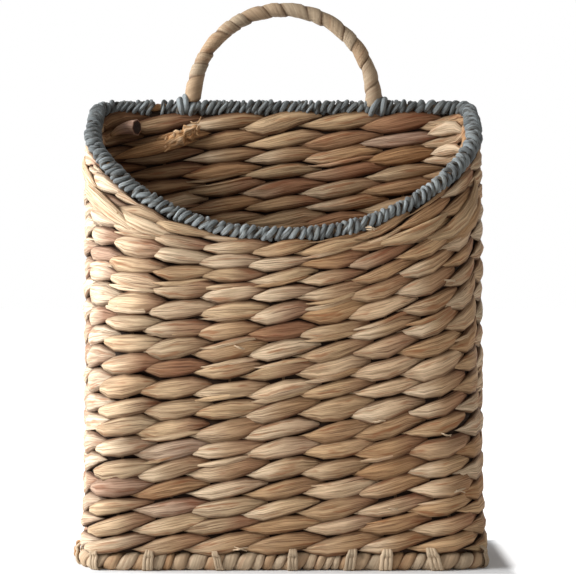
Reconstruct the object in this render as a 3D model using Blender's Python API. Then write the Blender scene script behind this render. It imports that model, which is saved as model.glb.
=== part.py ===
"""Wall basket of twined water hyacinth on a welded wire frame.

The basket stands on z = 0 with its flat back towards +Y and its scooped front
towards -Y.  A wire ring carries the base, a second ring carries the mouth, and
upright wires and stakes stand between them.  Each woven row is one strand that
is folded in two round the stakes: an outer run and an inner run.

A place round the wall is a stake number.  It is 0 in the middle of the front
and rises over the right side, the back and the left side to 0 again.
Units are metres.
"""
from math import cos, exp, floor, pi, sin, sqrt

import bmesh
import bpy
from mathutils import Vector

# Overall sizes: over the weave, and to the middle of the mouth rim
BASKET_WIDTH = 0.285
BASKET_DEPTH = 0.132
BACK_RIM_HEIGHT = 0.325
FRONT_RIM_HEIGHT = 0.230
CLEARANCE = 0.0003

# Plan of the wall: a rounded rectangle at the base and a bow at the mouth
BASE_FRONT_RADIUS = 0.022
BACK_CORNER_RADIUS = 0.016
BOW_START_DEPTH = 0.005
BOW_EXPONENT = 2.2

# Stakes, counted from the middle of the front to the middle of the back
STAKES_ROUND_BOW = 7
STAKES_ALONG_BACK = 3
FRONT_UPRIGHT = 4
STAKE_DIAMETER = 0.003
BASE_SPREAD = 0.2

# Rows of weave, which lift towards the front corners and are tallest above the middle
FULL_ROWS = 17
ROW_SWELL = 0.4
SHORT_ROWS = 7
STRAND_THICKNESS = 0.0042
STRAND_CROWN = 0.0034
LEAST_ROW_HEIGHT = 0.0035
CORNER_RISE = 0.030
RISE_EXPONENT = 2.2
RISE_PEAK_STAKE = 5
FRONT_RISE_SPREAD = 2.2
BACK_RISE_SPREAD = 1.1
BACK_RISE_SHARE = 0.38
FOLD_STAKE = 9.64
FOLD_SHARE = 0.12
FOLD_GAP_SHARE = 0.02
STAKE_SHARE = 0.08

# Mouth rim: a wire in a wound cord, with one gap in the winding
RIM_DIAMETER = 0.0104
RIM_GROOVE = 0.0007
RIM_WIRE_DIAMETER = 0.0036
RIM_LEVEL_STAKE = 7.45
RIM_EXPONENT = 2.4
RIM_RIBS = 66
RIM_SEAT = 0.0009
RIM_GAP_STAKE = 12.13
RIM_GAP_LENGTH = 0.0036

# Base ring: a wire in a wound leaf, flat where it stands
BASE_RING_DIAMETER = 0.0134
BASE_RING_GROOVE = 0.0007
BASE_WIRE_DIAMETER = 0.0036
BASE_RIBS = 46
BASE_GAP_STAKE = 9.5
BASE_GAP_LENGTH = 0.0020

# Base panel with its cross wires
PANEL_THICKNESS = 0.0080
PANEL_GROOVE = 0.0015
PANEL_LIFT = 0.0020
PANEL_STRANDS = 8
CROSS_WIRE_DIAMETER = 0.003
CROSS_WIRE_PLACE_SHARES = (-0.55, 0.0, 0.55)

# Handle: a wire hoop in a wound leaf
HANDLE_SPAN = 0.134
HANDLE_LEG = 0.006
HANDLE_DIAMETER = 0.0104
HANDLE_WIRE_DIAMETER = 0.004
HANDLE_TURNS = 15
HANDLE_TURN_GAP = 0.0006
HANDLE_LAP = 0.0007
LEAF_SEAT = 0.0008
LEAF_END_SHARE = 0.12
TURN_POINTS = 16

# Facets and cutting
WIRE_SIDES = 6
CORD_SIDES = 8
PLAN_STEPS = 48
HOOP_STEPS = 24
RIM_STEPS_PER_STAKE = 12
KEY_BEND = 0.2
KEY_LENGTH_SHARE = 0.045

WALL = 2 * STRAND_THICKNESS + STAKE_DIAMETER + 2 * CLEARANCE
SLOT_HALF = STAKE_DIAMETER / 2 + CLEARANCE
HALF_WIDTH = (BASKET_WIDTH - WALL) / 2
HALF_DEPTH = (BASKET_DEPTH - WALL) / 2
BACK_STAKE = STAKES_ROUND_BOW + STAKES_ALONG_BACK
ALL_STAKES = 2 * BACK_STAKE
FLAT_SHARE = cos(pi / CORD_SIDES)
BASE_RING_RADIUS = BASE_RING_DIAMETER / 2
BASE_RING_HEIGHT = (BASE_RING_RADIUS - BASE_RING_GROOVE) * FLAT_SHARE
FIRST_ROW_HEIGHT = BASE_RING_HEIGHT + BASE_RING_RADIUS * FLAT_SHARE + CLEARANCE
RIM_RADIUS = RIM_DIAMETER / 2
ROW_PITCH = (FRONT_RIM_HEIGHT - RIM_RADIUS - RIM_SEAT - FIRST_ROW_HEIGHT) / FULL_ROWS
HALF_STATIONS = (0, 1, 2, 3, 3.5, 4, 5, 6, 6.5, 7, 7.5)
STATIONS = (*HALF_STATIONS, BACK_STAKE,
            *(ALL_STAKES - stake for stake in reversed(HALF_STATIONS) if stake))


def clear_scene():
    for item in list(bpy.data.objects):
        bpy.data.objects.remove(item, do_unlink=True)


def make_material(name, colour, roughness, metallic=0.0):
    material = bpy.data.materials.new(name)
    material.use_nodes = True
    shader = material.node_tree.nodes["Principled BSDF"]
    shader.inputs["Base Color"].default_value = (*colour, 1.0)
    shader.inputs["Roughness"].default_value = roughness
    shader.inputs["Metallic"].default_value = metallic
    material.diffuse_color = (*colour, 1.0)
    return material


def add_object(name, mesh_data, material):
    """Turn the faces of a bmesh outwards and link it as a named object."""
    bmesh.ops.recalc_face_normals(mesh_data, faces=mesh_data.faces)
    mesh = bpy.data.meshes.new(name)
    mesh_data.to_mesh(mesh)
    mesh_data.free()
    mesh.materials.append(material)
    mesh.shade_smooth()
    mesh.set_sharp_from_angle(angle=pi / 4)
    item = bpy.data.objects.new(name, mesh)
    bpy.context.scene.collection.objects.link(item)
    return item


def add_ring(mesh_data, points):
    return [mesh_data.verts.new(point) for point in points]


def skin(mesh_data, rings, closed=False):
    """Join rings of equal count with quads."""
    pairs = list(zip(rings, rings[1:]))
    if closed:
        pairs.append((rings[-1], rings[0]))
    for first, second in pairs:
        for index in range(len(first)):
            after = (index + 1) % len(first)
            mesh_data.faces.new((first[index], first[after], second[after], second[index]))


def arc_points(centre, radius, start, end):
    """Points on an arc in the plan, from one angle to another."""
    points = []
    for step in range(PLAN_STEPS + 1):
        turn = start + (end - start) * step / PLAN_STEPS
        points.append(centre + Vector((radius * cos(turn), radius * sin(turn))))
    return points


def base_front():
    """Right half of the front of the base plan, from its middle to the side."""
    centre = Vector((HALF_WIDTH - BASE_FRONT_RADIUS, BASE_FRONT_RADIUS - HALF_DEPTH))
    return [Vector((0, -HALF_DEPTH)), *arc_points(centre, BASE_FRONT_RADIUS, -pi / 2, 0)]


def mouth_front():
    """Right half of the bow that the mouth makes, from its middle to the side."""
    reach = BOW_START_DEPTH + HALF_DEPTH
    power = 2 / BOW_EXPONENT
    points = []
    for step in range(PLAN_STEPS + 1):
        turn = pi / 2 * step / PLAN_STEPS
        points.append(Vector((HALF_WIDTH * sin(turn) ** power,
                              BOW_START_DEPTH - reach * max(cos(turn), 0) ** power)))
    return points


def run_lengths(points):
    lengths = [0.0]
    for before, after in zip(points, points[1:]):
        lengths.append(lengths[-1] + (after - before).length)
    return lengths


def point_along(points, lengths, wanted):
    """The point at a distance along a polyline."""
    for index in range(1, len(points)):
        if lengths[index] >= wanted:
            step = lengths[index] - lengths[index - 1]
            part = (wanted - lengths[index - 1]) / step if step else 0
            return points[index - 1].lerp(points[index], part)
    return points[-1].copy()


def split_outline(front):
    """The bow and the back of a half plan, which meet in the middle of the back corner."""
    centre = Vector((HALF_WIDTH - BACK_CORNER_RADIUS, HALF_DEPTH - BACK_CORNER_RADIUS))
    corner = arc_points(centre, BACK_CORNER_RADIUS, 0, pi / 2)
    middle = len(corner) // 2
    bow = [*front, *corner[:middle + 1]]
    rear = [*corner[middle:], Vector((0, HALF_DEPTH))]
    return (bow, run_lengths(bow)), (rear, run_lengths(rear))


BASE_PLAN = split_outline(base_front())
MOUTH_PLAN = split_outline(mouth_front())


def on_plan(plan, stake, spread=0.0):
    """The point of a half plan at a stake number, with the front stakes spread by a share."""
    if stake <= STAKES_ROUND_BOW:
        points, lengths = plan[0]
        share = stake / STAKES_ROUND_BOW
        share += spread * share * (1 - share)
        return point_along(points, lengths, lengths[-1] * share)
    points, lengths = plan[1]
    share = (stake - STAKES_ROUND_BOW) / STAKES_ALONG_BACK
    return point_along(points, lengths, lengths[-1] * share)


def mirrored(place):
    """A place round the wall as a stake of the right half, and its side."""
    place %= ALL_STAKES
    return (place, 1) if place <= BACK_STAKE else (ALL_STAKES - place, -1)


def wall_point(place, height):
    """The middle of the wall at a place and a height."""
    stake, side = mirrored(place)
    base, mouth = on_plan(BASE_PLAN, stake, BASE_SPREAD), on_plan(MOUTH_PLAN, stake)
    point = base.lerp(mouth, height / BACK_RIM_HEIGHT)
    return Vector((side * point.x, point.y, height))


def rim_height(place):
    stake = mirrored(place)[0]
    turn = pi / 2 * min(stake / RIM_LEVEL_STAKE, 1)
    return FRONT_RIM_HEIGHT + (BACK_RIM_HEIGHT - FRONT_RIM_HEIGHT) * sin(turn) ** RIM_EXPONENT


def rim_point(place):
    return wall_point(place, rim_height(place))


def rim_slope(place):
    """Rise of the rim over its run in the plan."""
    step = 1 / PLAN_STEPS
    before, after = rim_point(place - step), rim_point(place + step)
    return abs(after.z - before.z) / (after.xy - before.xy).length


def under_rim(place, radius, gap):
    """Height just below a round of that radius that follows the rim."""
    return rim_height(place) - radius * sqrt(1 + rim_slope(place) ** 2) - gap


def corner_rise(place):
    """Share of the lift of the rows: most near the front corners, some at the back."""
    offset = mirrored(place)[0] - RISE_PEAK_STAKE
    if offset < 0:
        return exp(-(offset / FRONT_RISE_SPREAD) ** 2)
    return BACK_RISE_SHARE + (1 - BACK_RISE_SHARE) * exp(-(offset / BACK_RISE_SPREAD) ** 2)


def full_joint(count, place):
    """Height of the joint above a number of full rows."""
    share = count / FULL_ROWS
    level = share + ROW_SWELL * share ** 3 * (1 - share)
    lift = CORNER_RISE * share ** RISE_EXPONENT
    return FIRST_ROW_HEIGHT + level * FULL_ROWS * ROW_PITCH + lift * corner_rise(place)


def short_pitch():
    top = BACK_RIM_HEIGHT - RIM_RADIUS - RIM_SEAT
    return (top - full_joint(FULL_ROWS, BACK_STAKE)) / SHORT_ROWS


def station_joint(count, place):
    """Height of the joint above any number of rows, kept below the rim."""
    if count <= FULL_ROWS:
        level = full_joint(count, place)
    else:
        level = full_joint(FULL_ROWS, place) + (count - FULL_ROWS) * short_pitch()
    return min(level, under_rim(place, RIM_RADIUS, RIM_SEAT))


def station_span(place):
    """The stations on both sides of a place, and how far it is between them."""
    place %= ALL_STAKES
    stations = (*STATIONS, ALL_STAKES)
    for before, after in zip(stations, stations[1:]):
        if before <= place < after:
            return before, after, (place - before) / (after - before)
    return stations[-2], stations[-1], 1.0


def joint_height(count, place):
    """A joint's height on the straight line between its stations."""
    before, after, part = station_span(place)
    low, high = station_joint(count, before), station_joint(count, after)
    return low + (high - low) * part


def facet_point(place, height):
    """The middle of the wall on the flat facet between two stations."""
    before, after, part = station_span(place)
    return wall_point(before, height).lerp(wall_point(after, height), part)


def facet_normal(before, after, height):
    run = wall_point(after, height) - wall_point(before, height)
    return Vector((run.y, -run.x, 0)).normalized()


def wall_offset(place, height):
    """Outward vector that moves both facets at a place by one unit."""
    before, after, part = station_span(place)
    normal = facet_normal(before, after, height)
    if part > 0:
        return normal
    index = STATIONS.index(before)
    earlier = facet_normal(STATIONS[index - 1], before, height)
    middle = (normal + earlier).normalized()
    return middle / middle.dot(normal)


def strand_section(place, low, high):
    """The eight corners of a row: outer run, then inner run, each from low to high."""
    crown = min(STRAND_CROWN, (high - low) * STRAND_CROWN / ROW_PITCH)
    outward = wall_offset(place, (low + high) / 2)
    face = SLOT_HALF + STRAND_THICKNESS
    corners = []
    for reach, height in ((face, low + crown), (face, high - crown), (SLOT_HALF, high),
                          (-SLOT_HALF, high), (-face, high - crown), (-face, low + crown),
                          (-SLOT_HALF, low), (SLOT_HALF, low)):
        corners.append(facet_point(place, height) + outward * reach)
    return corners


def row_places(start, end):
    """Where a row bends from its first place to its last."""
    places = [start]
    for lap in (0, ALL_STAKES):
        places += [lap + station for station in STATIONS if start < lap + station < end]
    return [*places, end]


def short_row_start(row):
    """Where a short row begins: as near the front as its height allows, between stakes."""
    place = BACK_STAKE
    step = 1 / RIM_STEPS_PER_STAKE
    while joint_height(row, place - step) - joint_height(row - 1, place - step) > LEAST_ROW_HEIGHT:
        place -= step
    past = place - floor(place)
    if past < STAKE_SHARE:
        return floor(place) + STAKE_SHARE
    if past > 1 - STAKE_SHARE - FOLD_SHARE:
        return floor(place) + 1 + STAKE_SHARE
    return place


def make_row(row, material):
    """One strand folded round the stakes, with its fold at the end of the row."""
    if row <= FULL_ROWS:
        start = FOLD_STAKE + FOLD_GAP_SHARE
        end = FOLD_STAKE + ALL_STAKES
    else:
        start = short_row_start(row)
        end = ALL_STAKES - start
    split = end - FOLD_SHARE
    mesh_data = bmesh.new()
    sections = []
    for place in (*row_places(start, split), *row_places(split, end)[1:]):
        low = joint_height(row - 1, place) + CLEARANCE / 2
        high = joint_height(row, place) - CLEARANCE / 2
        sections.append(add_ring(mesh_data, strand_section(place, low, high)))
    runs = len(row_places(start, split))
    outer = [(ring[7], ring[0], ring[1], ring[2]) for ring in sections[:runs]]
    inner = [(ring[3], ring[4], ring[5], ring[6]) for ring in sections[:runs]]
    skin(mesh_data, outer)
    skin(mesh_data, inner)
    skin(mesh_data, sections[runs - 1:])
    mesh_data.faces.new(outer[0])
    mesh_data.faces.new(inner[0])
    slot_end = sections[runs - 1]
    mesh_data.faces.new((slot_end[7], slot_end[2], slot_end[3], slot_end[6]))
    mesh_data.faces.new(sections[-1])
    return add_object(f"weave_row_{row:02d}", mesh_data, material)


def rod(name, low, high, radius, material, sides=WIRE_SIDES):
    """A straight wire with level ends."""
    mesh_data = bmesh.new()
    across, along = Vector((1, 0, 0)), Vector((0, 1, 0))
    if abs(high.z - low.z) < abs(high.y - low.y):
        along = Vector((0, 0, 1))
    rings = []
    for point in (low, high):
        turns = [2 * pi * corner / sides for corner in range(sides)]
        rings.append(add_ring(mesh_data, [point + (across * cos(turn) + along * sin(turn)) * radius
                                          for turn in turns]))
    skin(mesh_data, rings)
    mesh_data.faces.new(rings[0])
    mesh_data.faces.new(rings[1])
    return add_object(name, mesh_data, material)


def stake_top(place, gap):
    """Where a stake stops below a round that follows the rim."""
    return under_rim(place, gap, CLEARANCE) - STAKE_DIAMETER / 2 * rim_slope(place)


def make_stakes(wire, reed):
    """The welded uprights at the corners, and the stakes between them."""
    uprights = {FRONT_UPRIGHT: "frame_upright_front_right",
                STAKES_ROUND_BOW: "frame_upright_back_right",
                ALL_STAKES - STAKES_ROUND_BOW: "frame_upright_back_left",
                ALL_STAKES - FRONT_UPRIGHT: "frame_upright_front_left"}
    number = 0
    for place in range(ALL_STAKES):
        if place in uprights:
            low = BASE_RING_HEIGHT + BASE_WIRE_DIAMETER / 2 + CLEARANCE
            high = stake_top(place, RIM_WIRE_DIAMETER / 2)
            name, material = uprights[place], wire
        else:
            number += 1
            low = FIRST_ROW_HEIGHT
            high = stake_top(place, RIM_RADIUS + CLEARANCE)
            name, material = f"stake_{number:02d}", reed
        rod(name, facet_point(place, low), facet_point(place, high),
            STAKE_DIAMETER / 2, material)
    return list(uprights)


def cross_frames(points, closed):
    """Sideways and upward vectors along a path that is never vertical."""
    frames = []
    count = len(points)
    for index, point in enumerate(points):
        before = points[index - 1] if index or closed else point
        after = points[(index + 1) % count] if index < count - 1 or closed else point
        tangent = (after - before).normalized()
        side = tangent.cross(Vector((0, 0, 1))).normalized()
        frames.append((side, side.cross(tangent).normalized()))
    return frames


def round_section(point, frame, radius, sides):
    """A regular section with a flat side below."""
    side, up = frame
    turns = [2 * pi * (corner + 0.5) / sides for corner in range(sides)]
    return [point + (side * sin(turn) - up * cos(turn)) * radius for turn in turns]


def wire_path(name, points, radius, material, frames, closed=False):
    """A solid wire along a path."""
    mesh_data = bmesh.new()
    rings = [add_ring(mesh_data, round_section(point, frame, radius, WIRE_SIDES))
             for point, frame in zip(points, frames)]
    skin(mesh_data, rings, closed)
    if not closed:
        mesh_data.faces.new(rings[0])
        mesh_data.faces.new(rings[-1])
    return add_object(name, mesh_data, material)


def key_steps(points):
    """The points that a plain tube needs: where the path has turned or run on."""
    total = run_lengths(points)[-1]
    kept = [0]
    for index in range(1, len(points) - 1):
        heading = points[index + 1] - points[index]
        bend = heading.angle(points[kept[-1] + 1] - points[kept[-1]])
        if bend > KEY_BEND or (points[index] - points[kept[-1]]).length > total * KEY_LENGTH_SHARE:
            kept.append(index)
    return [*kept, len(points) - 1]


def loop_points(place_point, gap_place, gap_length, ribs):
    """Even points round a closed path, from one side of its gap to the other."""
    steps = ALL_STAKES * RIM_STEPS_PER_STAKE
    path = [place_point(gap_place + ALL_STAKES * step / steps) for step in range(steps + 1)]
    lengths = run_lengths(path)
    run = lengths[-1] - gap_length
    return [point_along(path, lengths, gap_length / 2 + run * step / (2 * ribs))
            for step in range(2 * ribs + 1)]


def make_wound_ring(wire_name, wrap_name, points, radius, groove, wire_radius,
                    wire, wrap, floor=None):
    """A closed wire ring and the ribbed winding round it, open at one gap."""
    keys = key_steps(points)
    frames = cross_frames(points, False)
    core = [points[step] for step in keys]
    wire_path(wire_name, core, wire_radius, wire, [frames[step] for step in keys], closed=True)
    mesh_data = bmesh.new()
    outer = []
    for index, point in enumerate(points):
        crest = radius if index % 2 else radius - groove
        section = round_section(point, frames[index], crest, CORD_SIDES)
        if floor is not None:
            section = [Vector((corner.x, corner.y, max(corner.z, floor))) for corner in section]
        outer.append(add_ring(mesh_data, section))
    bore = wire_radius + CLEARANCE
    inner = [add_ring(mesh_data, round_section(points[step], frames[step], bore, CORD_SIDES))
             for step in keys]
    skin(mesh_data, outer)
    skin(mesh_data, inner)
    skin(mesh_data, [outer[0], inner[0]])
    skin(mesh_data, [outer[-1], inner[-1]])
    return add_object(wrap_name, mesh_data, wrap)


def cut(item, cutter):
    """Subtract a hidden guide shape."""
    cutter.hide_render = True
    cutter.display_type = "WIRE"
    modifier = item.modifiers.new(cutter.name, "BOOLEAN")
    modifier.operation = "DIFFERENCE"
    modifier.solver = "EXACT"
    modifier.object = cutter


def make_rim(wire, cord, uprights):
    points = loop_points(rim_point, RIM_GAP_STAKE, RIM_GAP_LENGTH, RIM_RIBS)
    wrap = make_wound_ring("frame_rim_ring", "rim_wrap", points, RIM_RADIUS, RIM_GROOVE,
                           RIM_WIRE_DIAMETER / 2, wire, cord)
    bore = STAKE_DIAMETER / 2 + CLEARANCE
    for place in uprights:
        low = under_rim(place, RIM_DIAMETER, 0)
        cutter = rod(f"rim_bore_{place}", facet_point(place, low),
                     facet_point(place, rim_height(place)), bore, cord)
        cut(wrap, cutter)
    for side in (-1, 1):
        foot = Vector((side * HANDLE_SPAN / 2, HALF_DEPTH, BACK_RIM_HEIGHT))
        cutter = rod(f"handle_bore_{side}", foot, foot + Vector((0, 0, RIM_DIAMETER)),
                     HANDLE_WIRE_DIAMETER / 2 + CLEARANCE, cord)
        cut(wrap, cutter)


def make_base_ring(wire, leaf, uprights):
    def base_point(place):
        stake, side = mirrored(place)
        point = on_plan(BASE_PLAN, stake)
        return Vector((side * point.x, point.y, BASE_RING_HEIGHT))
    points = loop_points(base_point, BASE_GAP_STAKE, BASE_GAP_LENGTH, BASE_RIBS)
    wrap = make_wound_ring("frame_base_ring", "base_ring_wrap", points, BASE_RING_RADIUS,
                           BASE_RING_GROOVE, BASE_WIRE_DIAMETER / 2, wire, leaf, floor=0)
    for place in uprights:
        cutter = rod(f"base_bore_{place}", facet_point(place, BASE_RING_HEIGHT),
                     facet_point(place, BASE_RING_HEIGHT + BASE_RING_DIAMETER),
                     STAKE_DIAMETER / 2 + CLEARANCE, leaf)
        cut(wrap, cutter)


def make_base_panel(wire, reed):
    """A ridged panel inside the base ring, with cross wires through it."""
    inset = BASE_RING_RADIUS + CLEARANCE
    width, depth = HALF_WIDTH - inset, HALF_DEPTH - inset
    radius = BASE_FRONT_RADIUS - BASE_RING_RADIUS
    mesh_data = bmesh.new()
    rings = []
    for line in range(2 * PANEL_STRANDS + 1):
        across = depth * (line / PANEL_STRANDS - 1)
        past = max(abs(across) - (depth - radius), 0)
        reach = width - radius + sqrt(max(radius ** 2 - past ** 2, 0))
        groove = 0 if line % 2 else PANEL_GROOVE
        low, high = PANEL_LIFT + groove, PANEL_LIFT + PANEL_THICKNESS - groove
        rings.append(add_ring(mesh_data, [Vector((-reach, across, low)), Vector((reach, across, low)),
                                          Vector((reach, across, high)),
                                          Vector((-reach, across, high))]))
    skin(mesh_data, rings)
    mesh_data.faces.new(rings[0])
    mesh_data.faces.new(rings[-1])
    panel = add_object("base_weave", mesh_data, reed)
    middle = PANEL_LIFT + PANEL_THICKNESS / 2
    for number, share in enumerate(CROSS_WIRE_PLACE_SHARES, 1):
        front = Vector((share * HALF_WIDTH, -depth, middle))
        back = Vector((share * HALF_WIDTH, depth, middle))
        rod(f"base_cross_wire_{number}", front, back, CROSS_WIRE_DIAMETER / 2, wire)
        overrun = Vector((0, CROSS_WIRE_DIAMETER, 0))
        cutter = rod(f"panel_bore_{number}", front - overrun, back + overrun,
                     CROSS_WIRE_DIAMETER / 2 + CLEARANCE, reed)
        cut(panel, cutter)


def hoop_frame(distance, start):
    """Point and outward vector of the handle at a distance along its path."""
    radius = HANDLE_SPAN / 2
    leg = HANDLE_LEG - start
    arch = pi * radius
    if distance < leg:
        return Vector((-radius, HALF_DEPTH, BACK_RIM_HEIGHT + start + distance)), Vector((-1, 0, 0))
    if distance > leg + arch:
        drop = distance - leg - arch
        return Vector((radius, HALF_DEPTH, BACK_RIM_HEIGHT + HANDLE_LEG - drop)), Vector((1, 0, 0))
    turn = (distance - leg) / radius
    outward = Vector((-cos(turn), 0, sin(turn)))
    return Vector((0, HALF_DEPTH, BACK_RIM_HEIGHT + HANDLE_LEG)) + outward * radius, outward


def make_handle_wire(wire):
    start = RIM_WIRE_DIAMETER / 2 + CLEARANCE
    length = 2 * (HANDLE_LEG - start) + pi * HANDLE_SPAN / 2
    leg = HANDLE_LEG - start
    places = [0, *(leg + (length - 2 * leg) * step / HOOP_STEPS for step in range(HOOP_STEPS + 1)),
              length]
    points, frames = [], []
    for place in places:
        point, outward = hoop_frame(place, start)
        points.append(point)
        frames.append((Vector((0, 1, 0)), outward))
    wire_path("frame_handle", points, HANDLE_WIRE_DIAMETER / 2, wire, frames)


def make_handle_wrap(leaf):
    """A leaf strip wound round the handle wire, each turn lapping up to the next."""
    start = RIM_RADIUS + CLEARANCE
    length = 2 * (HANDLE_LEG - start) + pi * HANDLE_SPAN / 2
    pitch = length / (HANDLE_TURNS - 1)
    width = pitch - HANDLE_TURN_GAP
    bore, face = HANDLE_WIRE_DIAMETER / 2 + LEAF_SEAT, HANDLE_DIAMETER / 2
    mesh_data = bmesh.new()
    rings, middles = [], []
    first = -width * (1 / 2 - LEAF_END_SHARE)
    run = length - 2 * first
    count = round(run / pitch * TURN_POINTS)
    for step in range(count + 1):
        middle = first + run * step / count
        low = max(middle - width / 2, 0)
        high = min(middle + width / 2, length)
        turn = 2 * pi * step / TURN_POINTS
        corners = []
        for reach, distance in ((bore, low), (face - HANDLE_LAP, low), (face, high), (bore, high)):
            point, outward = hoop_frame(distance, start)
            spoke = outward * cos(turn) + Vector((0, 1, 0)) * sin(turn)
            corners.append(point + spoke * reach)
        rings.append(add_ring(mesh_data, corners))
        middles.append(corners)
    skin(mesh_data, rings)
    mesh_data.faces.new(rings[0])
    mesh_data.faces.new(rings[-1])
    gaps = [(late[1] - early[2]).length
            for early, late in zip(middles, middles[TURN_POINTS:])
            if (late[2] - late[1]).length > width / 2 and (early[2] - early[1]).length > width / 2]
    print("least gap between turns of the handle leaf, mm:", round(min(gaps) * 1000, 3))
    return add_object("handle_wrap", mesh_data, leaf)


def main():
    clear_scene()
    iron = make_material("iron_wire", (0.09, 0.085, 0.08), 0.5, 0.8)
    straw = make_material("hyacinth_strand", (0.52, 0.36, 0.21), 0.65)
    reed = make_material("reed_stake", (0.40, 0.27, 0.15), 0.7)
    leaf = make_material("hyacinth_leaf", (0.58, 0.42, 0.26), 0.6)
    cord = make_material("grey_cord", (0.15, 0.18, 0.19), 0.8)
    uprights = make_stakes(iron, reed)
    for row in range(1, FULL_ROWS + SHORT_ROWS + 1):
        make_row(row, straw)
    make_rim(iron, cord, uprights)
    make_base_ring(iron, leaf, uprights)
    make_base_panel(iron, straw)
    make_handle_wire(iron)
    make_handle_wrap(leaf)


main()
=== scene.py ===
"""Looks of a scooped wall basket: twined water hyacinth on a wire frame.

The woven wall is a belt of stakes.  A place on it is a stake number: 0 in the
middle of the front, rising over the right side, the back and the left side to
20.  A row is twined from two strands, which show as one leaf-shaped lobe on
each face of the wall at every stake.  All lengths are metres unless named mm.
"""

import random
from bisect import bisect_right
from math import atan2, cos, exp, floor, pi, radians, sin, sqrt

import bpy
from bpy.props import FloatProperty, FloatVectorProperty, IntProperty, PointerProperty
from bpy.types import Operator, Panel, PropertyGroup
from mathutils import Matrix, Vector, noise


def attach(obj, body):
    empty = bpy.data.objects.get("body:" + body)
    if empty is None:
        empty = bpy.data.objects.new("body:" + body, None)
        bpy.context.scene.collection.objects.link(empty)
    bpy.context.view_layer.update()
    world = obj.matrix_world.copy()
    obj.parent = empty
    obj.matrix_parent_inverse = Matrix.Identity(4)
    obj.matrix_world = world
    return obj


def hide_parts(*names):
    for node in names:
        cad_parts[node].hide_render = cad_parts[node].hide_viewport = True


bl_info = {
    "name": "Wall basket",
    "version": (1, 0, 0),
    "blender": (4, 5, 0),
    "location": "3D View > Sidebar > Basket",
    "description": "Builds the looks of a woven wall basket on its packed frame",
    "category": "Object",
}

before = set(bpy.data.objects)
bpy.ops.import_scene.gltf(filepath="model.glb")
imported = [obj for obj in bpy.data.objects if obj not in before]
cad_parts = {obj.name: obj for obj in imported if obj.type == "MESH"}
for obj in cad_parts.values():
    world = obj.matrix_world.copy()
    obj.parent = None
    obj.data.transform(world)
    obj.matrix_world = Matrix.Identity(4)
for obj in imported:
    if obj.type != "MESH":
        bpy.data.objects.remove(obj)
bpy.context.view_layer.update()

# The construction's own sizes, repeated from the part's source
BASKET_WIDTH = 0.285
BASKET_DEPTH = 0.132
WALL = 0.012
BACK_RIM_HEIGHT = 0.325
FRONT_RIM_HEIGHT = 0.230
BASE_FRONT_RADIUS = 0.022
BACK_CORNER_RADIUS = 0.016
BOW_START_DEPTH = 0.005
BOW_EXPONENT = 2.2
STAKES_ROUND_BOW = 7
STAKES_ALONG_BACK = 3
BASE_SPREAD = 0.2
FULL_ROWS = 17
SHORT_ROWS = 7
ROW_SWELL = 0.4
CORNER_RISE = 0.030
RISE_EXPONENT = 2.2
RISE_PEAK_STAKE = 5
FRONT_RISE_SPREAD = 2.2
BACK_RISE_SPREAD = 1.1
BACK_RISE_SHARE = 0.38
RIM_LEVEL_STAKE = 7.45
RIM_EXPONENT = 2.4
RIM_RADIUS = 0.0052
RIM_SEAT = 0.0009
RIM_GAP_STAKE = 12.13
BASE_RING_RADIUS = 0.0067
BASE_RING_HEIGHT = 0.005543
FIRST_ROW_HEIGHT = 0.012033
HANDLE_SPAN = 0.134
HANDLE_LEG = 0.006
HANDLE_RADIUS = 0.0052

BACK_STAKE = STAKES_ROUND_BOW + STAKES_ALONG_BACK
ALL_STAKES = 2 * BACK_STAKE
HALF_WIDTH = (BASKET_WIDTH - WALL) / 2
HALF_DEPTH = (BASKET_DEPTH - WALL) / 2
ROW_PITCH = (FRONT_RIM_HEIGHT - RIM_RADIUS - RIM_SEAT - FIRST_ROW_HEIGHT) / FULL_ROWS
JOINT_WANDER = 0.0026
WANDER_SCALE = 3.5
WANDER_STEP = 1.7
PLAN_STEPS = 48
WALL_STEPS = 24
WALL_PLACES = [step / WALL_STEPS for step in range(ALL_STAKES * WALL_STEPS)]
UP = Vector((0, 0, 1))


# The wall

def run_lengths(points):
    """The running length of a route at each of its points."""
    lengths = [0.0]
    for before, after in zip(points, points[1:]):
        lengths.append(lengths[-1] + (after - before).length)
    return lengths


def spot_on_run(lengths, distance):
    """The entry before a distance along a run, and the part of the way to the next."""
    index = min(bisect_right(lengths, distance), len(lengths) - 1) - 1
    step = lengths[index + 1] - lengths[index]
    return index, (distance - lengths[index]) / step if step else 0


def arc_points(centre, radius, start, end):
    turns = [start + (end - start) * step / PLAN_STEPS for step in range(PLAN_STEPS + 1)]
    return [centre + Vector((radius * cos(turn), radius * sin(turn))) for turn in turns]


def half_outline(front):
    """The bow and the back of half a plan, each with its running length."""
    centre = Vector((HALF_WIDTH - BACK_CORNER_RADIUS, HALF_DEPTH - BACK_CORNER_RADIUS))
    corner = arc_points(centre, BACK_CORNER_RADIUS, 0, pi / 2)
    middle = len(corner) // 2
    runs = ([*front, *corner[:middle + 1]], [*corner[middle:], Vector((0, HALF_DEPTH))])
    return [(points, run_lengths(points)) for points in runs]


def base_outline():
    centre = Vector((HALF_WIDTH - BASE_FRONT_RADIUS, BASE_FRONT_RADIUS - HALF_DEPTH))
    return half_outline([Vector((0, -HALF_DEPTH)),
                         *arc_points(centre, BASE_FRONT_RADIUS, -pi / 2, 0)])


def mouth_outline():
    reach, power = BOW_START_DEPTH + HALF_DEPTH, 2 / BOW_EXPONENT
    turns = [pi / 2 * step / PLAN_STEPS for step in range(PLAN_STEPS + 1)]
    return half_outline([Vector((HALF_WIDTH * sin(turn) ** power,
                                 BOW_START_DEPTH - reach * max(cos(turn), 0) ** power))
                         for turn in turns])


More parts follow.
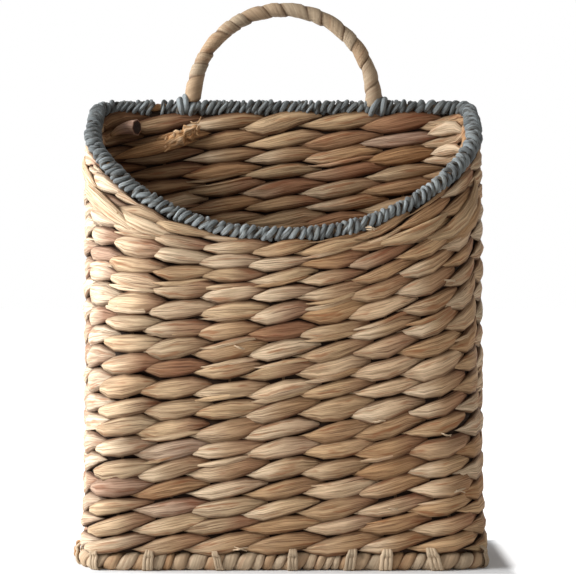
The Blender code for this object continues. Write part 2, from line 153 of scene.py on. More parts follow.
def on_outline(outline, stake, spread):
    """The point of half a plan at a stake."""
    if stake <= STAKES_ROUND_BOW:
        points, lengths = outline[0]
        share = stake / STAKES_ROUND_BOW
        share += spread * share * (1 - share)
    else:
        points, lengths = outline[1]
        share = (stake - STAKES_ROUND_BOW) / STAKES_ALONG_BACK
    index, part = spot_on_run(lengths, lengths[-1] * share)
    return points[index].lerp(points[index + 1], part)


def wall_table(outline, spread):
    """Points right round a plan, a fixed number to each stake."""
    table = []
    for place in WALL_PLACES:
        stake, side = (place, 1) if place <= BACK_STAKE else (ALL_STAKES - place, -1)
        point = on_outline(outline, stake, spread)
        table.append(Vector((side * point.x, point.y)))
    return table


def outward_table(table):
    """Unit vectors that point out of the plan."""
    vectors = []
    for index in range(len(table)):
        run = table[(index + 1) % len(table)] - table[index - 1]
        vectors.append(Vector((run.y, -run.x)).normalized())
    return vectors


BASE_TABLE = wall_table(base_outline(), BASE_SPREAD)
MOUTH_TABLE = wall_table(mouth_outline(), 0.0)
BASE_OUTWARD = outward_table(BASE_TABLE)
MOUTH_OUTWARD = outward_table(MOUTH_TABLE)


def from_table(table, place):
    """A value between the entries of a table that runs round the wall."""
    spot = place * WALL_STEPS
    index = floor(spot)
    first, second = table[index % len(table)], table[(index + 1) % len(table)]
    return first + (second - first) * (spot - index)


def wall_point(place, height):
    """The middle of the wall at a place and a height."""
    base, mouth = from_table(BASE_TABLE, place), from_table(MOUTH_TABLE, place)
    point = base.lerp(mouth, height / BACK_RIM_HEIGHT)
    return Vector((point.x, point.y, height))


def wall_outward(place, height):
    base, mouth = from_table(BASE_OUTWARD, place), from_table(MOUTH_OUTWARD, place)
    outward = base.lerp(mouth, height / BACK_RIM_HEIGHT).normalized()
    return Vector((outward.x, outward.y, 0))


def half_stake(place):
    place %= ALL_STAKES
    return min(place, ALL_STAKES - place)


def wrapped(place):
    """A place counted from the middle of the front, negative over the left side."""
    place %= ALL_STAKES
    return place if place <= BACK_STAKE else place - ALL_STAKES


def rim_height(place):
    turn = pi / 2 * min(half_stake(place) / RIM_LEVEL_STAKE, 1)
    return FRONT_RIM_HEIGHT + (BACK_RIM_HEIGHT - FRONT_RIM_HEIGHT) * sin(turn) ** RIM_EXPONENT


def rim_point(place):
    return wall_point(place, rim_height(place))


def under_rim(place):
    """The height that the top of the weave keeps to, just below the rim."""
    step = 1 / WALL_STEPS
    run = rim_point(place + step) - rim_point(place - step)
    slope = run.z / run.xy.length
    return rim_height(place) - RIM_RADIUS * sqrt(1 + slope ** 2) - RIM_SEAT


def joint_wander(count, place):
    """The small unevenness of a hand woven joint, none at the foot of the wall."""
    turn = 2 * pi * place / ALL_STAKES
    spot = Vector((WANDER_SCALE * cos(turn), WANDER_SCALE * sin(turn), WANDER_STEP * count))
    return JOINT_WANDER * min(count / 2, 1) * noise.noise(spot)


def joint_level(count, place):
    """Height of the joint above a number of rows, kept below the rim."""
    share = min(count / FULL_ROWS, 1)
    offset = half_stake(place) - RISE_PEAK_STAKE
    if offset < 0:
        rise = exp(-(offset / FRONT_RISE_SPREAD) ** 2)
    else:
        rise = BACK_RISE_SHARE + (1 - BACK_RISE_SHARE) * exp(-(offset / BACK_RISE_SPREAD) ** 2)
    level = share + ROW_SWELL * share ** 3 * (1 - share)
    height = FIRST_ROW_HEIGHT + level * FULL_ROWS * ROW_PITCH
    height += CORNER_RISE * share ** RISE_EXPONENT * rise
    back_top = BACK_RIM_HEIGHT - RIM_RADIUS - RIM_SEAT
    back_joint = FIRST_ROW_HEIGHT + FULL_ROWS * ROW_PITCH + CORNER_RISE * BACK_RISE_SHARE
    height += max(count - FULL_ROWS, 0) * (back_top - back_joint) / SHORT_ROWS
    if count == FULL_ROWS + SHORT_ROWS:
        return under_rim(place)
    return min(height + joint_wander(count, place), under_rim(place))


JOINTS = [[joint_level(count, place) for place in WALL_PLACES]
          for count in range(FULL_ROWS + SHORT_ROWS + 1)]
ROOM = [under_rim(place) for place in WALL_PLACES]


# Settings

def number_setting(name, description, default, **more):
    return FloatProperty(name=name, description=description, default=default, **more)


def length_setting(name, description, default):
    return number_setting(name, description, default, subtype="DISTANCE", unit="LENGTH", min=0)


def colour_setting(name, description, default):
    return FloatVectorProperty(name=name, description=description, default=default,
                               subtype="COLOR", size=3, min=0, max=1)


def count_setting(name, description, default, least=0):
    return IntProperty(name=name, description=description, default=default, min=least)


class WeaveSettings(PropertyGroup):
    """Shape and colours of the twined strands."""
    lobe_reach: number_setting("Lobe reach", "Half a lobe's length in stake spacings", 0.80,
                               min=0.5, max=1.2)
    twist_rise: number_setting("Twist rise", "How far a strand climbs, in half row heights", 0.58,
                               min=0, max=1, subtype="FACTOR")
    fullness: number_setting("Fullness", "Half height of a lobe in half row heights", 1.22,
                             min=0.5, max=1.6)
    strand_offset: length_setting(
        "Strand offset", "Distance from the middle of the wall to a strand's middle", 0.0031)
    strand_lap: length_setting(
        "Strand lap", "How much further out a strand starts than it ends", 0.0014)
    strand_half: length_setting("Strand half", "Half the thickness of a strand", 0.0038)
    seed: count_setting("Seed", "Start of the random draws", 7)
    pale: colour_setting("Pale strand", "Lightest dry leaf", (0.62, 0.47, 0.32))
    straw: colour_setting("Straw strand", "Most common dry leaf", (0.47, 0.325, 0.19))
    tan: colour_setting("Tan strand", "Warm dry leaf", (0.37, 0.225, 0.115))
    russet: colour_setting("Russet strand", "Reddish leaf", (0.30, 0.145, 0.07))
    mauve: colour_setting("Mauve strand", "Greyish pink leaf", (0.36, 0.235, 0.18))
    cream: colour_setting("Cream strand", "Pale inside of a leaf", (0.66, 0.52, 0.37))
    amber: colour_setting("Amber strand", "Orange brown leaf inside", (0.42, 0.235, 0.11))
    tip: colour_setting("Strand tip", "Reddish brown of an old strand end", (0.24, 0.105, 0.055))
    green: colour_setting("Green strand", "Leaf that dried grey green", (0.36, 0.30, 0.18))


class WindingSettings(PropertyGroup):
    """Windings of the rim, the handle and the base ring."""
    rim_turns: count_setting("Rim turns", "Turns of cord round the rim", 140, 20)
    cord_ply: number_setting("Cord ply", "Radius of one ply of the rim cord in cord widths", 0.33,
                             min=0.05, max=0.5)
    cord_spread: number_setting(
        "Cord spread", "A ply's distance from the cord's middle in cord widths", 0.225,
        min=0.05, max=0.5)
    cord_rise: number_setting("Cord rise", "A ply's rise over the cord's middle in cord widths",
                              0.17, min=0, max=0.5)
    cord_twist: number_setting("Cord twist", "Twists of the cord in one turn round the rim", 1.15,
                               min=0, max=6)
    rim_lean: length_setting(
        "Rim lean", "How far a turn of the rim cord leans over half its height", 0.0013)
    handle_turns: count_setting("Handle turns", "Turns of leaf round the handle", 15, 3)
    base_turns: count_setting("Base turns", "Turns of leaf round the base ring", 74, 10)
    seed: count_setting("Seed", "Start of the random draws", 21)
    slate: colour_setting("Slate cord", "Grey blue of the rim cord", (0.205, 0.23, 0.243))
    leaf: colour_setting("Winding leaf", "Leaf of the handle and base ring", (0.43, 0.335, 0.235))
    warm_leaf: colour_setting("Warm leaf", "Browner leaf among the windings", (0.36, 0.20, 0.09))
    wire: colour_setting("Wire", "Dark iron of the frame", (0.03, 0.027, 0.024))
    reed: colour_setting("Reed", "Stakes inside the weave", (0.12, 0.07, 0.035))


class StageSettings(PropertyGroup):
    """Camera, floor and lights."""
    camera_distance: length_setting("Camera distance", "From the middle of the basket", 1.466)
    camera_height: length_setting("Camera height", "Above the floor", 0.2192)
    lens: number_setting("Lens", "Focal length in mm", 128.1, min=1)
    shift_x: number_setting("Shift X", "Sideways camera shift", 0.0078)
    shift_y: number_setting("Shift Y", "Upward camera shift", -0.066)
    key_power: number_setting("Key power", "Power of the large left light", 41, min=0)
    side_power: number_setting("Side power", "Power of the light beside the basket", 14, min=0)
    fill_power: number_setting("Fill power", "Power of the right light", 2.0, min=0)
    sky: number_setting("Sky", "Strength of the world", 0.30, min=0)
    floor: colour_setting("Floor", "Pale floor", (0.74, 0.74, 0.74))


# Making meshes

class Piece:
    """Vertices, faces, pattern places and colours of one piece while it grows."""

    def __init__(self):
        self.points, self.faces, self.places, self.colours = [], [], [], []

    def add(self, points, faces, places, colours):
        start = len(self.points)
        self.points += points
        self.faces += [tuple(start + corner for corner in face) for face in faces]
        self.places += places
        self.colours += colours

    def finish(self, name, material, slot, *replaced):
        """Make the mesh object, with its pattern map and its colours."""
        mesh = bpy.data.meshes.new(name)
        mesh.from_pydata(self.points, [], self.faces)
        pattern = mesh.uv_layers.new(name="pattern").data
        for loop in mesh.loops:
            pattern[loop.index].uv = self.places[loop.vertex_index]
        tint = mesh.color_attributes.new(name="tint", type="FLOAT_COLOR", domain="POINT").data
        for index, colour in enumerate(self.colours):
            tint[index].color = colour
        mesh.shade_smooth()
        mesh.materials.append(material)
        item = bpy.data.objects.new(name, mesh)
        bpy.context.scene.collection.objects.link(item)
        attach(item, "root")
        if replaced:
            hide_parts(*replaced)


def rest_on_floor(piece):
    """Flatten what would dip under the floor."""
    piece.points = [Vector((point.x, point.y, max(point.z, 0.0))) for point in piece.points]


def deselect_all():
    if bpy.context.object and bpy.context.object.mode != "OBJECT":
        bpy.ops.object.mode_set(mode="OBJECT")
    bpy.ops.object.select_all(action="DESELECT")


def take_shape(item):
    """Read a modelled shape's points and faces, and remove its object."""
    points = [corner.co.copy() for corner in item.data.vertices]
    faces = [tuple(face.vertices) for face in item.data.polygons]
    mesh = item.data
    bpy.data.objects.remove(item, do_unlink=True)
    bpy.data.meshes.remove(mesh)
    return points, faces


def select_where(item, test):
    """Select the vertices of an object in edit mode that pass a test of their place."""
    bpy.ops.mesh.select_all(action="DESELECT")
    bpy.ops.object.mode_set(mode="OBJECT")
    for corner in item.data.vertices:
        corner.select = test(corner.co)
    bpy.ops.object.mode_set(mode="EDIT")


LOBE_SIDES = 8
LOBE_RINGS = 8
RING_NEAR = 0.01
LOBE_POINT = 0.97
LOBE_POWER = 2.2
LOBE_TAIL = 0.07


def model_lobe():
    """Model one leaf-shaped lobe: along X from -1 to 1, outwards along Y, up along Z."""
    deselect_all()
    bpy.ops.mesh.primitive_uv_sphere_add(segments=LOBE_SIDES, ring_count=LOBE_RINGS,
                                         rotation=(0, pi / 2, 0))
    item = bpy.context.object
    bpy.ops.object.transform_apply(location=False, rotation=True, scale=False)
    bpy.ops.object.mode_set(mode="EDIT")
    bpy.ops.mesh.select_mode(type="VERT")
    for ring in range(1, LOBE_RINGS // 2 + 1):
        reach = cos(pi * ring / LOBE_RINGS)
        wanted = max(LOBE_TAIL, 1 - (reach / LOBE_POINT) ** LOBE_POWER)
        share = wanted / sin(pi * ring / LOBE_RINGS)
        select_where(item, lambda place: abs(abs(place.x) - reach) < RING_NEAR)
        bpy.ops.transform.resize(value=(1, share, share))
    bpy.ops.mesh.select_all(action="SELECT")
    bpy.ops.mesh.normals_make_consistent(inside=False)
    bpy.ops.object.mode_set(mode="OBJECT")
    return take_shape(item)


def model_strip(across, along):
    """Model a flat leaf strip one unit each way, as a grid of points."""
    deselect_all()
    bpy.ops.mesh.primitive_grid_add(x_subdivisions=across, y_subdivisions=along, size=1,
                                    location=(0.5, 0.5, 0))
    item = bpy.context.object
    bpy.ops.object.transform_apply(location=True, rotation=False, scale=False)
    return take_shape(item)


def turned_over(faces):
    return [tuple(reversed(face)) for face in faces]


def between(values, index, part):
    """A value part of the way from one entry of a list to the next."""
    after = values[min(index + 1, len(values) - 1)]
    return values[index] + (after - values[index]) * part


def clipped(value):
    """A value kept from 0 to 1."""
    return max(0.0, min(1.0, value))


def mix_colours(first, second, share):
    return [a + (b - a) * share for a, b in zip(first, second)]


def gained(colour, gain):
    """A colour made lighter or darker."""
    return [channel * gain for channel in colour]


def shaded(colour, depth):
    """A colour with its openness, which sets its painted crevice shade: from 0 in a deep crevice,
    painted darkest, to 1 in the open.
    """
    return (*colour, clipped(depth))


# Twined rows

MM = 1000
SEED_STEP = 100
SLIM_SEED = 50

# The section of a strand
CREASES = 10
CREASE_DEPTH = 0.22
FRONT_CROWDING = 0.45
WOBBLE = 0.07
WOBBLE_STRETCH = 2.2
WOBBLE_SCALE = 1.3
TIP_TAPER = 0.45
TAPER_START = 0.35
LEAST_HALF = 0.0006
LEAST_LOBE_HALF = 0.0013
LEAST_THICK = 0.35
LAID_SPOTS = (-0.45, 0, 0.45)

# The way of a strand over its stake
CLIMB_END = 0.66
DIVE_SHARE = 0.84
DIVE_POWER = 3.2
RISE_SPAN = 4.5
STEEP_SPAN = 6.75
STEEP_FALL = 0.10
RISE_GAIN = 0.26
REACH_GAIN = 0.06
LAP_GAIN = 0.0010
FLAT_ROW = 15
FLAT_POWER = 1.5
FLAT_FULL = 0.12
RIM_TUCK = 0.0018
TUCK_START = 0.003
FOLD_PLACE = 3.38
FOLD_SHIFT = 4.3
FOLD_HALF = 0.5
FOLD_LEFT = 0.0042
FOLD_RIGHT = 0.0012

# A slim strand beside a lobe
SLIM_SHARE = 0.17
SLIM_REACH = 0.9
SLIM_FULL = 0.34
SLIM_LIFT = 0.66
SLIM_THICK = 0.6
SLIM_OUT = 0.0012

# Painted shade and light, stains and colours
PATTERN_SPAN = 400
LOBE_LENGTH_MM = 35
LOBE_ROUND_MM = 5.0
# How open a lobe's spot is sets its painted shade: least at its edges and buried end, and inside the
# left corner, a painted shadow
OPEN_FRONT = 1.35
OPEN_LOSS = 0.39
END_SHADE = 0.6
END_SHADE_START = 0.15
CORNER_PLACE = -7.1
CORNER_SPREAD = 1.4
CORNER_SHADE = 0.6
# The brown end is partly stain and partly painted shade where a strand dives under; the pale start
# is painted light
STAIN_AND_SHADE_DEPTH = 0.8
END_STAIN_AND_SHADE_SPAN = 0.45
EDGE_STAIN_MIDDLE = 0.6
PAINTED_LIGHT_LEAD = 0.1
PAINTED_LIGHT_SPAN = 0.5
# Painted shade makes the front's right warmer and darker; painted light makes the left bend, turned
# to the lamps, paler
RIGHT_PAINTED_SHADE = 0.45
LEFT_PAINTED_LIGHT = 0.6
LEFT_PAINTED_LIGHT_COLOUR = (0.66, 0.56, 0.45)
LEFT_PAINTED_LIGHT_HEIGHT = 0.15
NOTED_STRAW = 0.25
# A noted strand's brown end: partly stain, partly painted shade
NOTED_END_STAIN_AND_SHADE_START = -0.5
NOTED_END_STAIN_AND_SHADE = 0.3
RUSSET_END_STAIN_AND_SHADE = 0.8

# The belt in the middle of the wall, painted dark as the shade between the lobes
CROSSING_STEPS = 6
CROSSING_HALF = 0.0009
CROSSING_RISE = 0.005
CROSSING_PAINTED_SHADE = 0.25
CROSSING_RUN_MM = 4.0

# The ranges that a strand's own values are drawn from
STRAND_RANGES = {
    "centre": (-0.06, 0.06), "reach": (0.93, 1.12), "rise": (0.75, 1.2), "full": (0.92, 1.1),
    "lift": (-0.08, 0.08), "thick": (0.85, 1.15), "fibre turn": (-0.15, 0.4),
    "straw": (0, 0.35), "tone": (0.84, 1.16), "end stain and shade": (-0.3, 1.1),
    "end stain and shade start": (-0.3, 0.2), "edge stain": (-0.9, 0.9), "painted light start": (-0.4, 0.9),
    "pattern": (0, PATTERN_SPAN),
}

# Leaf colours of the wall's two faces, each with the share that it and those before it take
OUTSIDE_COLOURS = ((0.28, "pale"), (0.73, "straw"), (0.95, "tan"), (0.97, "amber"),
                   (0.985, "mauve"), (1.0, "green"))
# The inside's mix leans to darker, warmer leaves: partly their own colour, partly painted shade of
# the inside
INSIDE_COLOURS = ((0.08, "pale"), (0.38, "straw"), (0.82, "tan"), (0.93, "amber"),
                  (0.98, "russet"), (1.0, "mauve"))

# Strands whose colour the photograph shows apart: row, stake and face of the wall
NOTED_STRANDS = {(24, 8, -1): "russet", (23, 7, -1): "pale", (22, 7, -1): "pale",
                 (20, 10, -1): "russet", (21, 9, -1): "russet", (20, 8, -1): "tan",
                 (23, 12, -1): "tan", (4, 17, 1): "mauve", (15, 16, 1): "mauve",
                 (14, 17, 1): "pale", (7, 1, 1): "tan", (10, 18, 1): "russet",
                 (12, 0, 1): "russet", (16, 2, 1): "russet", (13, 18, 1): "pale"}


def drawn(draw, name):
    """One of a strand's own values."""
    return draw.uniform(*STRAND_RANGES[name])


def drawn_creases(draw):
    return [1 - CREASE_DEPTH * draw.random() for _ in range(CREASES)]


def drawn_spot(draw):
    """A place on the fibre pattern, in mm."""
    return Vector((drawn(draw, "pattern"), drawn(draw, "pattern"), 0))


def strand_colour(settings, draw, inside):
    """One strand's colour, drawn from the leaf colours seen on that face of the wall."""
    pick = draw.random()
    leaves = INSIDE_COLOURS if inside else OUTSIDE_COLOURS
    colour = getattr(settings, next(name for limit, name in leaves if pick <= limit))
    colour = mix_colours(colour, settings.straw, drawn(draw, "straw"))
    return gained(colour, drawn(draw, "tone"))


def steepness(row, stake, side):
    """How steeply a strand lies: up to 1 over the front's right, below 0 over its left."""
    if side < 0 or half_stake(stake) > RISE_SPAN:
        return 0.0
    steep = sin(pi * wrapped(stake) / STEEP_SPAN)
    return steep * min(1.0, (row / FLAT_ROW) ** FLAT_POWER) if steep < 0 else steep


def fold_out(place, height):
    """How far a strand stands out where it folds over a front upright."""
    fold = FOLD_PLACE - FOLD_SHIFT * height
    near = max(0.0, 1 - abs(half_stake(place) - fold) / FOLD_HALF)
    return near * (FOLD_LEFT if wrapped(place) < 0 else FOLD_RIGHT)


def lobe_section(point, creases):
    """The crowded angle and the creased radius of a point of the modelled lobe."""
    turn = atan2(point.z, point.y)
    crease = creases[round(turn / (2 * pi) * CREASES) % CREASES]
    return turn - FRONT_CROWDING * sin(turn), sqrt(point.y ** 2 + point.z ** 2) * crease


class Lobe:
    """One strand's pass over a stake, laid on the wall from the modelled lobe."""

    def __init__(self, row, stake, side, settings, draw, slim=False):
        self.row, self.side, self.settings = row, side, settings
        self.steep = steepness(row, stake, side)
        self.centre = stake + drawn(draw, "centre")
        self.reach = settings.lobe_reach * drawn(draw, "reach")
        self.reach += REACH_GAIN * max(0.0, self.steep)
        self.rise = settings.twist_rise * drawn(draw, "rise")
        self.full = settings.fullness * drawn(draw, "full")
        self.full *= 1 + FLAT_FULL * max(0.0, -self.steep)
        self.lift = drawn(draw, "lift")
        self.thick = drawn(draw, "thick")
        self.fibre_turn = drawn(draw, "fibre turn")
        self.creases = drawn_creases(draw)
        self.spot = drawn_spot(draw)
        self.colour = strand_colour(settings, draw, side < 0)
        self.end_stain_and_shade = max(0.0, drawn(draw, "end stain and shade"))
        self.end_stain_and_shade_start = drawn(draw, "end stain and shade start")
        self.edge_stain = drawn(draw, "edge stain")
        self.painted_light_start = max(0.0, drawn(draw, "painted light start"))
        # Painted shade over the front's right, painted light where the wall turns to the left lamps
        warm = max(0.0, self.steep) * RIGHT_PAINTED_SHADE
        self.colour = mix_colours(self.colour, settings.amber, warm)
        if side > 0:
            faced = max(0.0, -wall_outward(stake, LEFT_PAINTED_LIGHT_HEIGHT).x)
            self.colour = mix_colours(self.colour, LEFT_PAINTED_LIGHT_COLOUR, LEFT_PAINTED_LIGHT * faced)
        self.out = 0.0
        if slim:
            self.out = SLIM_OUT
            self.reach *= SLIM_REACH
            self.full *= SLIM_FULL
            self.thick *= SLIM_THICK
            self.lift += draw.choice((-SLIM_LIFT, SLIM_LIFT))
        noted = None if slim else NOTED_STRANDS.get((row, stake, side))
        if noted:
            self.colour = mix_colours(getattr(settings, noted), settings.straw, NOTED_STRAW)
            self.end_stain_and_shade_start = NOTED_END_STAIN_AND_SHADE_START
            self.end_stain_and_shade = RUSSET_END_STAIN_AND_SHADE if noted == "russet" else NOTED_END_STAIN_AND_SHADE

    def joints(self, place):
        """The row's lower and upper joint, with its top tucked under the rim cord."""
        low, high = from_table(JOINTS[self.row - 1], place), from_table(JOINTS[self.row], place)
        if high - low > LEAST_HALF:
            high += RIM_TUCK * max(0.0, 1 - (from_table(ROOM, place) - high) / TUCK_START)
        return low, high

    def worth_laying(self):
        spans = [self.joints(self.centre + step) for step in LAID_SPOTS]
        return max(high - low for low, high in spans) / 2 > LEAST_LOBE_HALF

    def openness(self, place, angle, lean):
        """How open a spot lies, least at the strand's edges and at its buried end, which sets its
        painted shade; inside the left corner it also gets a painted shadow.
        """
        share = OPEN_FRONT * cos(angle) - OPEN_LOSS - END_SHADE * max(0.0, lean - END_SHADE_START)
        if self.side < 0:
            share -= CORNER_SHADE * exp(-((wrapped(place) - CORNER_PLACE) / CORNER_SPREAD) ** 2)
        return share

    def stains_and_painted_light(self, angle, lean):
        """The strand's colour with its brown edge stain, its brown end, partly stain and partly
        painted shade where it dives under, and its pale start, which is painted light.
        """
        stained_and_shaded = self.end_stain_and_shade * clipped((lean - self.end_stain_and_shade_start) / END_STAIN_AND_SHADE_SPAN)
        edge = max(0.0, sin(angle) * (1 if self.edge_stain > 0 else -1))
        spread = EDGE_STAIN_MIDDLE + (1 - EDGE_STAIN_MIDDLE) * lean
        stained_and_shaded = min(1.0, stained_and_shaded + abs(self.edge_stain) * edge ** 2 * spread)
        colour = mix_colours(self.colour, self.settings.tip, STAIN_AND_SHADE_DEPTH * stained_and_shaded)
        # Painted light on the strand's pale start
        paled = self.painted_light_start * clipped((PAINTED_LIGHT_LEAD - lean) / PAINTED_LIGHT_SPAN) * (1 - stained_and_shaded)
        return mix_colours(colour, self.settings.cream, paled)

    def corner(self, point):
        """Where a point of the modelled lobe lies on the wall, its pattern place and colour."""
        along = point.x * self.reach
        lean = along * self.side
        place = self.centre + along
        low, high = self.joints(place)
        half = max((high - low) / 2, LEAST_HALF)
        angle, radius = lobe_section(point, self.creases)
        near = Vector((point.x * WOBBLE_STRETCH, point.y, point.z)) * WOBBLE_SCALE
        taper = max(0.0, -lean / self.reach - TAPER_START) / (1 - TAPER_START)
        radius *= (1 + WOBBLE * noise.noise(self.spot + near)) * (1 - TIP_TAPER * taper)
        climb = self.rise + self.steep * (RISE_GAIN if lean > 0 or self.steep < 0 else -STEEP_FALL)
        up = climb * sin(pi / 2 * max(-1.0, min(1.0, lean / CLIMB_END)))
        height = (low + high) / 2 + half * (up + self.lift + self.full * radius * sin(angle))
        thin = min(1.0, LEAST_THICK + (1 - LEAST_THICK) * half / (ROW_PITCH / 2))
        middle = self.settings.strand_offset * (1 - abs(along / DIVE_SHARE) ** DIVE_POWER)
        lap = self.settings.strand_lap + LAP_GAIN * max(0.0, self.steep)
        middle = max(middle - lap * lean, -self.settings.strand_offset)
        outward = middle + self.settings.strand_half * self.thick * thin * radius * cos(angle)
        outward += self.out * (1 - point.x ** 2)
        if self.side > 0:
            outward += fold_out(place, height)
        round_mm = (angle + self.fibre_turn * point.x) * self.full * LOBE_ROUND_MM
        return (wall_point(place, height) + wall_outward(place, height) * (self.side * outward),
                (self.spot.x + along * LOBE_LENGTH_MM, self.spot.y + round_mm),
                shaded(self.stains_and_painted_light(angle, lean), self.openness(place, angle, lean)))


def add_crossings(piece, row, settings):
    """The strands' own passages through the wall, as a belt in its middle painted dark as the shade
    between the lobes.
    """
    points, places, faces = [], [], []
    steps = ALL_STAKES * CROSSING_STEPS
    for step in range(steps):
        place = step / CROSSING_STEPS
        low, high = from_table(JOINTS[row - 1], place), from_table(JOINTS[row], place)
        high = max(high, low + LEAST_HALF)
        if high >= under_rim(place) - LEAST_HALF:
            high += CROSSING_RISE
        for height, reach in ((low, -1), (low, 1), (high, 1), (high, -1)):
            points.append(wall_point(place, height)
                          + wall_outward(place, height) * reach * CROSSING_HALF)
            places.append((step * CROSSING_RUN_MM, height * MM))
        after = 4 * ((step + 1) % steps)
        for corner in range(4):
            second = (corner + 1) % 4
            faces.append((4 * step + corner, after + corner, after + second, 4 * step + second))
    # Painted shade: the belt's leaf is made dark and given full crevice shade
    colour = shaded(gained(settings.tan, CROSSING_PAINTED_SHADE), 0.0)
    piece.add(points, turned_over(faces), places, [colour] * len(points))


def lay_row(row, lobe_shape, material, settings):
    """Lay every lobe of a row, outside and inside, as one piece."""
    draw = random.Random(settings.seed * SEED_STEP + row)
    slim_draw = random.Random(settings.seed * SEED_STEP + row + SLIM_SEED)
    points, faces = lobe_shape
    turned = turned_over(faces)
    piece = Piece()
    for stake in range(ALL_STAKES):
        for side in (1, -1):
            lobes = [Lobe(row, stake, side, settings, draw)]
            if slim_draw.random() < SLIM_SHARE:
                lobes.append(Lobe(row, stake, side, settings, slim_draw, slim=True))
            for lobe in lobes:
                if lobe.worth_laying():
                    spots, places, tints = zip(*(lobe.corner(point) for point in points))
                    piece.add(spots, turned if side > 0 else faces, places, tints)
    add_crossings(piece, row, settings)
    piece.finish(f"twined_row_{row:02d}", material, "hyacinth_strand", f"weave_row_{row:02d}")


# Paths and windings

class Path:
    """A route with its running length, and the outward and upward vectors of its section."""

    def __init__(self, points, frames):
        self.points, self.frames = points, frames
        self.lengths = run_lengths(points)
        self.length = self.lengths[-1]

    def at(self, distance):
        """The spot at a distance along the route, and its section's two vectors."""
        low, part = spot_on_run(self.lengths, max(0.0, min(self.length, distance)))
        side, up = (first.lerp(second, part).normalized()
                    for first, second in zip(self.frames[low], self.frames[low + 1]))
        return self.points[low].lerp(self.points[low + 1], part), side, up


def loop_path(point_at, start, end):
    """A path round the wall from one place to another."""
    steps = round((end - start) * WALL_STEPS)
    places = [start + (end - start) * step / steps for step in range(steps + 1)]
    points = [point_at(place) for place in places]
    frames = []
    for index, point in enumerate(points):
        before, after = points[max(index - 1, 0)], points[min(index + 1, steps)]
        tangent = (after - before).normalized()
        side = tangent.cross(UP).normalized()
        frames.append((side, side.cross(tangent).normalized()))
    return Path(points, frames)


HANDLE_LEG_STEPS = 4
HANDLE_ARCH_STEPS = 72


def handle_path():
    """The handle's route from the left foot to the right foot, on the middle of the back."""
    radius = HANDLE_SPAN / 2
    centre = Vector((0, HALF_DEPTH, BACK_RIM_HEIGHT + HANDLE_LEG))
    drops = [HANDLE_LEG * step / HANDLE_LEG_STEPS for step in range(1, HANDLE_LEG_STEPS + 1)]
    stops = [(Vector((-1, 0, 0)), drop) for drop in reversed(drops)]
    for step in range(HANDLE_ARCH_STEPS + 1):
        turn = pi * step / HANDLE_ARCH_STEPS
        stops.append((Vector((-cos(turn), 0, sin(turn))), 0))
    stops += [(Vector((1, 0, 0)), drop) for drop in drops]
    return Path([centre + out * radius - UP * drop for out, drop in stops],
                [(Vector((0, 1, 0)), out) for out, drop in stops])


def add_tube(piece, points, radii, colours, sides=5, flat=1.0):
    """Add a round or flattened strand along points, with capped ends."""
    corners, places, tints, faces = [], [], [], []
    count = len(points)
    lengths = run_lengths(points)
    normal = None
    for index, point in enumerate(points):
        tangent = (points[min(index + 1, count - 1)] - points[max(index - 1, 0)]).normalized()
        if normal is None:
            normal = tangent.cross(UP if abs(tangent.z) < 0.9 else Vector((0, 1, 0)))
        normal = (normal - tangent * normal.dot(tangent)).normalized()
        other = tangent.cross(normal)
        for side in range(sides):
            turn = 2 * pi * side / sides
            corners.append(point + (normal * cos(turn) + other * sin(turn) * flat) * radii[index])
            places.append((lengths[index] * MM, turn * radii[index] * MM))
            tints.append(colours[index])
    for index in range(count - 1):
        for side in range(sides):
            after = (side + 1) % sides
            low, high = index * sides, (index + 1) * sides
            faces.append((low + side, low + after, high + after, high + side))
    faces.append(tuple(reversed(range(sides))))
    faces.append(tuple((count - 1) * sides + side for side in range(sides)))
    piece.add(corners, faces, places, tints)


def smooth_noise(value, seed, scale):
    """A smooth value from about -1 to 1 that changes along a length."""
    return noise.noise(Vector((value * scale, seed * 7.31, seed * 3.17)))


# The twisted cord
CORD_PLIES = 2
PLY_SIDES = 7
PLY_DRIFT = 0.5
PLY_SWELL = 0.22
PLY_FADE = 0.4
# Plies are painted darker as shade where they turn under
PLY_OPEN = 0.34
PLY_NOISES = ((0, 1.1), (3, 2.1), (6, 2.7))

# The cord's winding round the rim
RIM_TURN_POINTS = 18
RIM_GAP_HALF = 0.0026
RIM_GAP_NEAR = 0.009
RIM_REACH = 0.0060
RIM_SWELL = 0.0005
RIM_BACK_GAIN = 0.06
RIM_BACK_START = -0.05
RIM_BACK_SPAN = 0.01
RIM_SIDE_GAIN = 0.35
RIM_UNEVEN = 0.24
RIM_TONES = (0.68, 1.45)
RIM_LEANS = (-0.4, 1.6)
# Turns facing left, right and back are painted darker as shade
RIM_LEFT_PAINTED_SHADE = -0.55
RIM_RIGHT_PAINTED_SHADE = -0.42
RIM_BACK_PAINTED_SHADE = -0.25
RIM_DRIFT = 0.5
RIM_DRIFT_SEED = 13
RIM_DRIFT_SCALE = 0.23
LEAST_CORD = 0.003
RIM_LEAF_TURNS = 150
RIM_LEAF_SUNK = 0.0017

# The leaf windings
LEAF_TONES = (0.8, 1.16)
LEAF_SLANTS = (-0.3, 1)
LEAF_LAP = 1.16
LEAF_RISE = 0.0008
LEAF_CREASE = 0.00018
LEAF_EDGE = 0.999
# The strip's edges, tucked under the next turn, get painted shade
LEAF_EDGE_OPEN = 4.5
LEAF_EDGE_LOSS = 0.05
LEAF_SHIFT_ALONG = 0.031
LEAF_SHIFT_ACROSS_MM = 37.0
CROWN_POWER = 0.6
PUFF_SHARE = 0.25
FLARE_LENGTH = 0.03
HANDLE_PUFF = 0.0006


